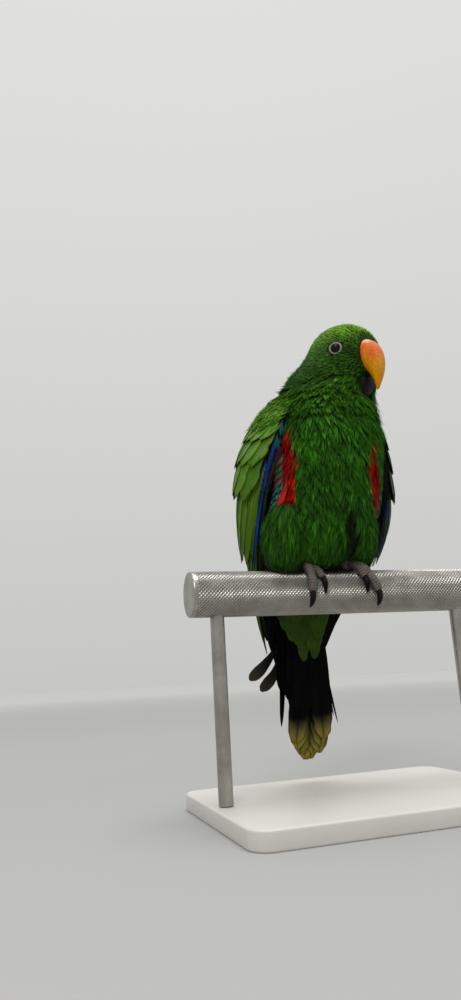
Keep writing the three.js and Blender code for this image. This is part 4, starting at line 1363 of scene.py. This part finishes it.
def makeEye(side, at, way):
    axes = turned(way)
    radius = eyeLook["radius"]
    middle = at - way * eyeLook["inset"]
    tilt, turn, local = ball(40, 48, 0.03)
    bulge = radius * (1 + 0.05 * np.exp(-((tilt / 0.45) ** 2)))  # the clear front stands proud
    local = local * bulge[..., None]
    points, faces = shellParts(local @ axes + middle, middle + way * radius * 1.05, middle - way * radius)
    off = np.concatenate([np.degrees(tilt).ravel(), [0, 180]])
    turn = np.concatenate([turn.ravel(), [0, 0]])
    spokes = 1 + 0.25 * np.sin(turn * 23)
    colour = mix(eyeLook["pupil"], eyeLook["iris"] * spokes[:, None], between(off, 23, 26))
    colour = mix(colour, eyeLook["rim"], between(off, 42, 48))
    bundle = Bundle()
    bundle.add(points, faces, colour, np.stack([off / 180, turn / 6.2832], -1))
    bundle.make("eye" + side.capitalize(), eyeGloss, "eye", ("eye_" + side,))
    # lids: a ring of bare skin in small folds, drawn a little over the ball above and below
    around, section = 72, 14
    b = np.linspace(0, 2 * math.pi, around, endpoint=False)[:, None]
    c = np.linspace(0, 2 * math.pi, section, endpoint=False)[None]
    thick = 0.62 * (1 + 0.1 * np.cos(b * 26)) * (1 + 0.15 * np.cos(2 * b))
    ring = eyeLook["lidRadius"] + thick * np.cos(c)
    height = 0.25 + thick * 0.85 * np.sin(c) - 0.25 * np.sin(b) ** 2
    local = np.stack([ring * np.cos(b) * 1.03, ring * np.sin(b) * 0.95, height], -1)
    bake = np.stack(np.broadcast_arrays(b, c), -1).reshape(-1, 2) / 6.2832
    bundle = Bundle()
    quads = gridFaces(around, section, wrap=True, close=True)
    bundle.add((local @ axes + at).reshape(-1, 3), [quads], eyeLook["lid"], bake)
    bundle.make("lid" + side.capitalize(), lidSkin, "eyelid", ("lid_" + side,))


for side, (at, way) in eyes.items():
    makeEye(side, at, way)

# Feet
legs = {
    "right": {"palmX": -30, "shift": {"outerFront": -2, "innerFront": 8, "outerBack": -9, "innerBack": 6}},
    "left": {"palmX": 7, "shift": {"outerFront": 14, "innerFront": 5, "outerBack": 12, "innerBack": -5}},
}
toes = {
    "outerFront": {"sweep": 96, "claw": 36, "radius": 3.5},
    "innerFront": {"sweep": 66, "claw": 32, "radius": 3.1},
    "outerBack": {"sweep": -92, "claw": -36, "radius": 3.4},
    "innerBack": {"sweep": -58, "claw": -32, "radius": 3.1},
}
footLook = {
    "skin": tint(112, 102, 94), "crease": tint(36, 31, 30), "pad": tint(118, 106, 96), "scute": 1.9,
    "clawBase": tint(26, 24, 25), "clawTip": tint(7, 7, 8),
}


def onPerch(x, angle, height):
    r = perchRadius + height
    a = np.radians(angle)
    return np.stack(np.broadcast_arrays(x, -r * np.sin(a), r * np.cos(a)), -1)


def scaledTube(bundle, path, radii, steps, sides, ends):
    scute = footLook["scute"]
    rows, at = tubeRings(path, radii, steps, sides)
    length = np.concatenate([[0], np.cumsum(np.linalg.norm(np.diff(at, axis=0), axis=-1))])[:, None]
    full = length[-1]
    outward = unit(rows - at[:, None])
    # the upper side carries a row of broad plates, the rest small scales in rows
    upside = (outward * unit(at * vec(0, 1, 1))[:, None]).sum(-1)
    plate = np.abs(((length / scute) % 1) - 0.5) * 2
    step = 0.3 * (1 - plate**4) * between(upside, 0.15, 0.6)
    a = np.arange(sides)[None] / sides * 2 * math.pi
    small = 0.12 * np.cos(a * 9 + math.pi * np.floor(length / scute * 2)) * (1 - between(upside, 0.1, 0.5))
    pads = 0.35 * np.sin(length / full * math.pi * 3) ** 2 * between(-upside, 0.2, 0.8)
    blunt = np.sqrt(np.clip(np.minimum((length + 0.02) / ends[0], (full - length + 0.02) / ends[1]), 0, 1))
    rows = at[:, None] + (rows - at[:, None]) * blunt[..., None]
    rows = rows + outward * ((step + small + pads - 0.2) * blunt)[..., None]
    plated = between(upside, 0.0, 0.5)
    # darker in the creases between the plates and on the scaly sides: partly the skin's own colour, partly
    # painted shade
    colour = mix(footLook["crease"], footLook["skin"], (1 - plate**3) * plated + 0.4 * (1 - plated))
    colour = mix(colour, footLook["pad"], between(-upside, 0.3, 0.8) * 0.6)
    colour = colour * (1 + 0.15 * wander(rows, 9, 12))[..., None]
    grain = np.stack(np.broadcast_arrays(a * 3, length, 0.0), -1)
    colour, grain = (np.vstack([x.reshape(-1, 3), x[0, :1], x[-1, :1]]) for x in (colour, grain))
    bundle.add(*shellParts(rows, at[0], at[-1]), colour, grain[:, :2] / vec(19, 60), grain)


def footMaterial():
    material, tree, shader = newMaterial("scaly grey foot skin")
    place = objectPlace(tree)
    cells = node(tree, "ShaderNodeTexVoronoi", Scale=760.0, feature="DISTANCE_TO_EDGE")
    feed(tree, cells, Vector=place)
    edges = rangeOf(tree, cells.outputs["Distance"], 0.0, 0.12, 0.0, 1.0)
    fine = noise(tree, place, 1500.0, 4.0, 0.7)
    # darker at the edges of the small scales: partly the skin's own colour, partly painted shade in the creases
    shade = rangeOf(tree, edges, 0, 1, 0.5, 1.12)
    shade = calc(tree, "MULTIPLY", shade, rangeOf(tree, fine, 0.3, 0.7, 0.7, 1.3))
    feed(
        tree, shader, Base_Color=shadedPlume(tree, shade),
        Normal=bumpOf(tree, calc(tree, "ADD", edges, fine), 0.0003, 0.7),
        Roughness=rangeOf(tree, fine, 0.3, 0.7, 0.5, 0.7),
    )
    return material


footSkin = footMaterial()


def addClaw(bundle, x, shift, toe):
    rings, sides = 30, 20
    sign = math.copysign(1, toe["sweep"])
    start = toe["sweep"] + sign * (math.degrees(0.3 / (perchRadius + toe["radius"])) - 3)
    u = np.linspace(0, 1, 6)
    height = (toe["radius"] + 0.3) * (1 - u) + 1.4 * u + 1.5 * np.sin(math.pi * u)
    path = onPerch(x + shift * (1 + 0.1 * u), start + (toe["claw"] + sign * 3) * u, height)
    rows, at = tubeRings(path, [2.3, 2.1, 1.5, 0.45], rings, sides)
    along = np.concatenate([np.repeat(np.linspace(0, 1, rings), sides), [0, 1]])
    colour = mix(footLook["clawBase"], footLook["clawTip"], between(along, 0.1, 0.6))
    bundle.add(*shellParts(rows, at[0], at[-1]), colour, None, np.stack([0 * along, along * 12, 0 * along], -1))


def makeFoot(side, leg):
    foot, claws = Bundle(), Bundle()
    x = leg["palmX"]
    for name, toe in toes.items():
        shift, radius = leg["shift"][name], toe["radius"]
        u = np.linspace(0, 1, 5)
        path = onPerch(x + shift * u, toe["sweep"] * u, 0.3 + radius * (1.15 - 0.15 * u) + 1.2 * (1 - u))
        scaledTube(foot, path, [k * radius for k in (1.15, 1, 1.08, 0.92, 1.02, 0.8)], 84, 26, (3.0, 1.6))
        addClaw(claws, x, shift, toe)
    shin = [(x, 1, 20), (x - 1, 3, 28), (x - 2, 5, 36)]
    scaledTube(foot, shin, [4.9, 4.1, 4.6], 34, 26, (2.5, 1.0))
    palm, radius = vec(x, 0, perchRadius + 5.4), 5.3
    rings = palm + ball(22, 30, 0.06)[2] * radius
    foot.add(*shellParts(rings, palm + vec(0, 0, radius), palm - vec(0, 0, radius)), footLook["skin"] * 0.9)
    foot.make("foot" + side.capitalize(), footSkin, "foot_skin", ("foot_" + side,))
    claws.make("claws" + side.capitalize(), blackHorn, "claw", ["claw_%s_%s" % (side, name) for name in toes])


for side, leg in legs.items():
    makeFoot(side, leg)
print("bill, eyes and feet ready")

# Knurled tube, made with nodes
perchLook = {"length": 236.0, "pitch": 2.6, "around": 38, "height": 0.42, "plain": 3.0, "bevel": 0.8}
steel = {"low": (0.27, 0.26, 0.235, 1), "high": (0.42, 0.405, 0.37, 1)}


def steelMaterial(name, roughness, direction):
    material, tree, shader = newMaterial(name, Metallic=1.0)
    place = objectPlace(tree)
    brushed = noise(tree, stretched(tree, place, direction), 900.0, 3.0, 0.7)
    stains = rangeOf(tree, noise(tree, place, 60.0, 4.0, 0.65), 0.3, 0.7, 0.0, 1.0)
    feed(
        tree, shader, Base_Color=mixedColour(tree, steel["low"], steel["high"], stains),
        Roughness=rangeOf(tree, brushed, 0.3, 0.7, roughness - 0.07, roughness + 0.1),
        Normal=bumpOf(tree, brushed, 0.00006, 0.5),
    )
    return material


knurledSteel = steelMaterial("knurled steel", 0.34, (0.2, 1, 1))
brushedSteel = steelMaterial("brushed steel", 0.3, (1, 1, 0.05))


def knurlNodes(material):  # rows of small blunt four-sided teeth round a tube along X
    tree = bpy.data.node_groups.new("knurling", "GeometryNodeTree")
    face, link = tree.interface, tree.links.new
    face.new_socket("Tube", in_out="INPUT", socket_type="NodeSocketGeometry")
    names = ("Radius", "Length", "Pitch", "Around", "Height")
    sockets = {}
    for name in names:
        kind = "NodeSocketInt" if name == "Around" else "NodeSocketFloat"
        sockets[name] = face.new_socket(name, in_out="INPUT", socket_type=kind).identifier
    face.new_socket("Tube", in_out="OUTPUT", socket_type="NodeSocketGeometry")
    start, end = tree.nodes.new("NodeGroupInput"), tree.nodes.new("NodeGroupOutput")
    radius, length, pitch, around, height = (start.outputs[name] for name in names)

    def work(operation, a, b=None):
        return calc(tree, operation, a, b)

    halfPitch = work("MULTIPLY", pitch, 0.5)
    points = node(tree, "GeometryNodePoints")
    feed(tree, points, Count=work("MULTIPLY", work("FLOOR", work("DIVIDE", length, halfPitch)), around))
    index = node(tree, "GeometryNodeInputIndex").outputs[0]
    row = work("FLOOR", work("DIVIDE", work("ADD", index, 0.5), around))
    column = work("SUBTRACT", index, work("MULTIPLY", row, around))
    odd = work("MULTIPLY", work("MODULO", row, 2.0), 0.5)
    angle = work("MULTIPLY", work("DIVIDE", work("ADD", column, odd), around), 2 * math.pi)
    along = work("MULTIPLY", work("ADD", row, 0.5), halfPitch)
    place = node(tree, "ShaderNodeCombineXYZ")
    feed(
        tree, place, X=work("SUBTRACT", along, work("MULTIPLY", length, 0.5)),
        Y=work("MULTIPLY", work("SINE", angle), radius), Z=work("MULTIPLY", work("COSINE", angle), radius),
    )
    setPlace = node(tree, "GeometryNodeSetPosition")
    feed(tree, setPlace, Geometry=points.outputs[0], Position=place.outputs[0])
    tooth = node(tree, "GeometryNodeMeshCone", Vertices=4, Side_Segments=1, Fill_Segments=1)
    feed(
        tree, tooth, Radius_Bottom=work("MULTIPLY", pitch, 0.44), Radius_Top=work("MULTIPLY", pitch, 0.12),
        Depth=height,
    )
    turn = node(tree, "ShaderNodeCombineXYZ")
    feed(tree, turn, X=work("MULTIPLY", angle, -1.0))
    teeth = node(tree, "GeometryNodeInstanceOnPoints")
    feed(tree, teeth, Points=setPlace.outputs[0], Instance=tooth.outputs["Mesh"], Rotation=turn.outputs[0])
    real = node(tree, "GeometryNodeRealizeInstances")
    link(teeth.outputs[0], real.inputs[0])
    join = node(tree, "GeometryNodeJoinGeometry")
    link(real.outputs[0], join.inputs[0])
    link(start.outputs["Tube"], join.inputs[0])
    paint = node(tree, "GeometryNodeSetMaterial", Material=material)
    feed(tree, paint, Geometry=join.outputs[0])
    link(paint.outputs[0], end.inputs[0])
    return tree, sockets


def lathe(profile, sides, turn, at):  # profile of (along, radius), closed on the axis
    a = np.linspace(0, 2 * math.pi, sides, endpoint=False)
    along, radius = np.array(profile, float).T[..., None]
    rows = np.stack([radius * np.cos(a), radius * np.sin(a), along + 0 * a], -1) @ turn.T + at
    ends = [vec(0, 0, profile[k][0]) @ turn.T + at for k in (0, -1)]
    return shellParts(rows, *ends)


def plainMesh(name, points, groups, material):
    mesh = bpy.data.meshes.new(name)
    faces = [tuple(int(i) for i in face) for group in groups for face in group]
    mesh.from_pydata([tuple(p) for p in inMetres(points)], [], faces)
    mesh.materials.append(material)
    mesh.update()
    bm = bmesh.new()
    bm.from_mesh(mesh)
    bmesh.ops.recalc_face_normals(bm, faces=bm.faces)
    bm.to_mesh(mesh)
    bm.free()
    piece = bpy.data.objects.new(name, mesh)
    bpy.context.collection.objects.link(piece)
    return piece


def makePerch():
    look = perchLook
    half, r, b, plain = look["length"] / 2, perchRadius, look["bevel"], look["plain"]
    core = r - look["height"]
    profile = [
        (-half, 3.0), (-half, 9.0), (-half, r - b), (-half + b * 0.3, r - b * 0.3), (-half + b, r),
        (-half + plain, r), (-half + plain + 0.3, core),
    ]
    profile += [(x, core) for x in np.linspace(-half + plain + 1, half - plain - 1, 12)]
    profile += [(-x, radius) for x, radius in reversed(profile[:7])]
    turn = rotation("y", 90)
    piece = plainMesh("knurledTube", *lathe(profile, 76, turn, vec(0, 0, 0)), knurledSteel)
    # teeth are grown round the origin, then lifted to the tube's height
    seed = lathe([(-1, 0.2), (1, 0.2)], 6, turn, vec(0, 0, -perchHeight))
    teeth = plainMesh("teeth", *seed, knurledSteel)
    tree, sockets = knurlNodes(knurledSteel)
    modifier = teeth.modifiers.new("knurling", "NODES")
    modifier.node_group = tree
    values = {
        "Radius": (r - look["height"] / 2 - 0.02) / 1000, "Length": (look["length"] - 2 * plain - 1) / 1000,
        "Pitch": look["pitch"] / 1000, "Around": look["around"], "Height": look["height"] / 1000,
    }
    for name, value in values.items():
        modifier[sockets[name]] = value
    grown = bpy.data.meshes.new_from_object(teeth.evaluated_get(bpy.context.evaluated_depsgraph_get()))
    bpy.data.objects.remove(teeth)
    grown.transform(Matrix.Translation((0, 0, perchHeight / 1000)))
    knurls = bpy.data.objects.new("knurls", grown)
    bpy.context.collection.objects.link(knurls)
    bpy.context.view_layer.update()
    with bpy.context.temp_override(active_object=piece, selected_editable_objects=[piece, knurls]):
        bpy.ops.object.join()
    finishPiece(piece, ("perch",))


makePerch()

# Stand
standLook = {
    "x": 216.0, "y": 164.0, "z": 12.0, "corner": 14.0, "bevel": 1.6, "rodX": 98.0, "rodRadius": 5.0,
    "low": (0.60, 0.58, 0.54, 1), "high": (0.66, 0.64, 0.60, 1),
}


def paintMaterial():
    material, tree, shader = newMaterial("pale satin paint")
    place = objectPlace(tree)
    grain, cloud = noise(tree, place, 700.0, 4.0, 0.6), noise(tree, place, 25.0, 2.0, 0.5)
    feed(
        tree, shader, Base_Color=mixedColour(tree, standLook["low"], standLook["high"], cloud),
        Normal=bumpOf(tree, grain, 0.00008, 0.35), Roughness=rangeOf(tree, grain, 0.3, 0.7, 0.42, 0.58),
    )
    return material


def makeStand():
    look = standLook
    w, d, corner, b = look["x"] / 2, look["y"] / 2, look["corner"], look["bevel"]

    def outline(inset):
        points = []
        for cx, cy, first in ((1, 1, 0), (-1, 1, 90), (-1, -1, 180), (1, -1, 270)):
            for a in np.radians(np.linspace(first, first + 90, 13)):
                r = corner - inset
                points.append((cx * (w - corner) + r * math.cos(a), cy * (d - corner) + r * math.sin(a)))
        return points

    base = -perchHeight
    levels = [(0, 0.8), (0.5, 0.2), (1.0, 0.0)]
    levels += [(look["z"] - b + b * math.sin(a), b - b * math.cos(a)) for a in np.linspace(0, math.pi / 2, 7)]
    rings = np.array([[(x, y, base + z) for x, y in outline(inset)] for z, inset in levels])
    parts = shellParts(rings, vec(0, 0, base), vec(0, 0, base + look["z"]))
    finishPiece(plainMesh("standBoard", *parts, paintMaterial()), ("stand_base",))
    low, high, r = look["z"] + 0.3 - perchHeight, -perchRadius * 0.8, look["rodRadius"]
    profile = [(low, r - 0.6), (low + 0.6, r), *((z, r) for z in np.linspace(low + 4, high - 4, 8))]
    profile += [(high - 0.2, r), (high, r - 0.2)]
    for side, x in (("Right", -look["rodX"]), ("Left", look["rodX"])):
        rod = plainMesh("standRod" + side, *lathe(profile, 48, np.eye(3), vec(x, 0, 0)), brushedSteel)
        finishPiece(rod, ("stand_rod_" + side.lower(),))


makeStand()
for name, angle in (("standBoard", 35), ("standRodRight", 35), ("standRodLeft", 35), ("knurledTube", 20)):
    mesh = bpy.data.objects[name].data
    mesh.polygons.foreach_set("use_smooth", np.ones(len(mesh.polygons), bool))
    mesh.set_sharp_from_angle(angle=math.radians(angle))
print("perch and stand ready")
# Floor, light and camera
studio = {
    "near": (0.39, 0.39, 0.385, 1), "far": (0.8, 0.8, 0.79, 1), "floorSize": 9.0,
    "horizon": (0.57, 0.573, 0.56, 1), "zenith": (0.8, 0.8, 0.78, 1), "ground": (0.55, 0.55, 0.55, 1),
    "aim": (0, 0, 0.2),
    "lights": {
        "key": {"at": (-0.7, -1.1, 1.3), "size": 0.6, "power": 9.5, "colour": (1, 0.98, 0.95)},
        "top": {"at": (0.1, 0.0, 1.5), "size": 0.8, "power": 10.5, "colour": (1, 1, 1)},
    },
}
# where the tube's middle is seen in the picture and how thick it is there, in pixels
cameraLook = {
    "yaw": 18.3, "pitch": 14.0, "roll": 3.2, "focal": 700.0, "width": 461, "height": 1000, "tube": 42.6,
    "tubeX": 341, "tubeY": 592,
}


def makeFloor():  # round, and painted paler far away: painted light that evens out the lamps' fall-off, so that it fades into the room
    material, tree, shader = newMaterial("pale floor", Roughness=0.9, Specular_IOR_Level=0.1)
    far = node(tree, "ShaderNodeVectorMath", operation="LENGTH")
    tree.links.new(objectPlace(tree), far.inputs[0])
    share = rangeOf(tree, far.outputs["Value"], 0.3, 4.0, 0.0, 1.0)
    feed(tree, shader, Base_Color=mixedColour(tree, studio["near"], studio["far"], share))
    mesh = bpy.data.meshes.new("floor")
    size, sides = studio["floorSize"], 96
    turns = np.linspace(0, 2 * math.pi, sides, endpoint=False)
    mesh.from_pydata([(size * math.cos(a), size * math.sin(a), 0) for a in turns], [], [tuple(range(sides))])
    mesh.materials.append(material)
    floor = bpy.data.objects.new("floor", mesh)
    bpy.context.collection.objects.link(floor)


def makeRoom():  # even pale light, brighter overhead
    world = bpy.data.worlds.new("pale room")
    world.use_nodes = True
    tree = world.node_tree
    parts = node(tree, "ShaderNodeSeparateXYZ")
    tree.links.new(node(tree, "ShaderNodeTexCoord").outputs["Generated"], parts.inputs[0])
    ramp = node(tree, "ShaderNodeValToRGB")
    feed(tree, ramp, Fac=rangeOf(tree, parts.outputs["Z"], -1, 1, 0, 1))
    stops = ramp.color_ramp.elements
    stops[0].color, stops[0].position = studio["ground"], 0.35
    stops[1].color = studio["zenith"]
    stops.new(0.5).color = studio["horizon"]
    feed(tree, tree.nodes["Background"], Color=ramp.outputs["Color"])
    bpy.context.scene.world = world


def addLight(name, at, size, power, colour):
    data = bpy.data.lights.new(name, "AREA")
    data.shape = "DISK"
    data.size, data.energy, data.color = size, power, colour
    lamp = bpy.data.objects.new(name, data)
    bpy.context.collection.objects.link(lamp)
    lamp.location = at
    lamp.rotation_euler = (Vector(studio["aim"]) - Vector(at)).to_track_quat("-Z", "Y").to_euler()


def makeCamera():
    look = cameraLook
    yaw, pitch, roll = (math.radians(look[key]) for key in ("yaw", "pitch", "roll"))
    focal, width, height = look["focal"], look["width"], look["height"]
    level = vec(math.cos(yaw), -math.sin(yaw), 0)
    ahead = vec(math.sin(yaw) * math.cos(pitch), math.cos(yaw) * math.cos(pitch), math.sin(pitch))
    above = np.cross(level, ahead)
    right = math.cos(roll) * level - math.sin(roll) * above
    up = math.cos(roll) * above + math.sin(roll) * level
    depth = 2 * perchRadius * focal / look["tube"]
    x, y = (look["tubeX"] - width / 2) / focal * depth, (height / 2 - look["tubeY"]) / focal * depth
    at = (-depth * ahead - x * right - y * up + vec(0, 0, perchHeight)) / 1000
    data = bpy.data.cameras.new("camera")
    data.sensor_fit = "AUTO"
    data.sensor_width = 36
    data.lens = focal / height * data.sensor_width
    data.clip_start, data.clip_end = 0.01, 50
    camera = bpy.data.objects.new("camera", data)
    bpy.context.collection.objects.link(camera)
    camera.matrix_world = Matrix([*np.stack([right, up, -ahead, at], 1).tolist(), (0, 0, 0, 1)])
    bpy.context.scene.camera = camera


makeFloor()
makeRoom()
for name, lamp in studio["lights"].items():
    addLight(name, **lamp)
makeCamera()
bpy.context.scene.view_settings.view_transform = "Standard"
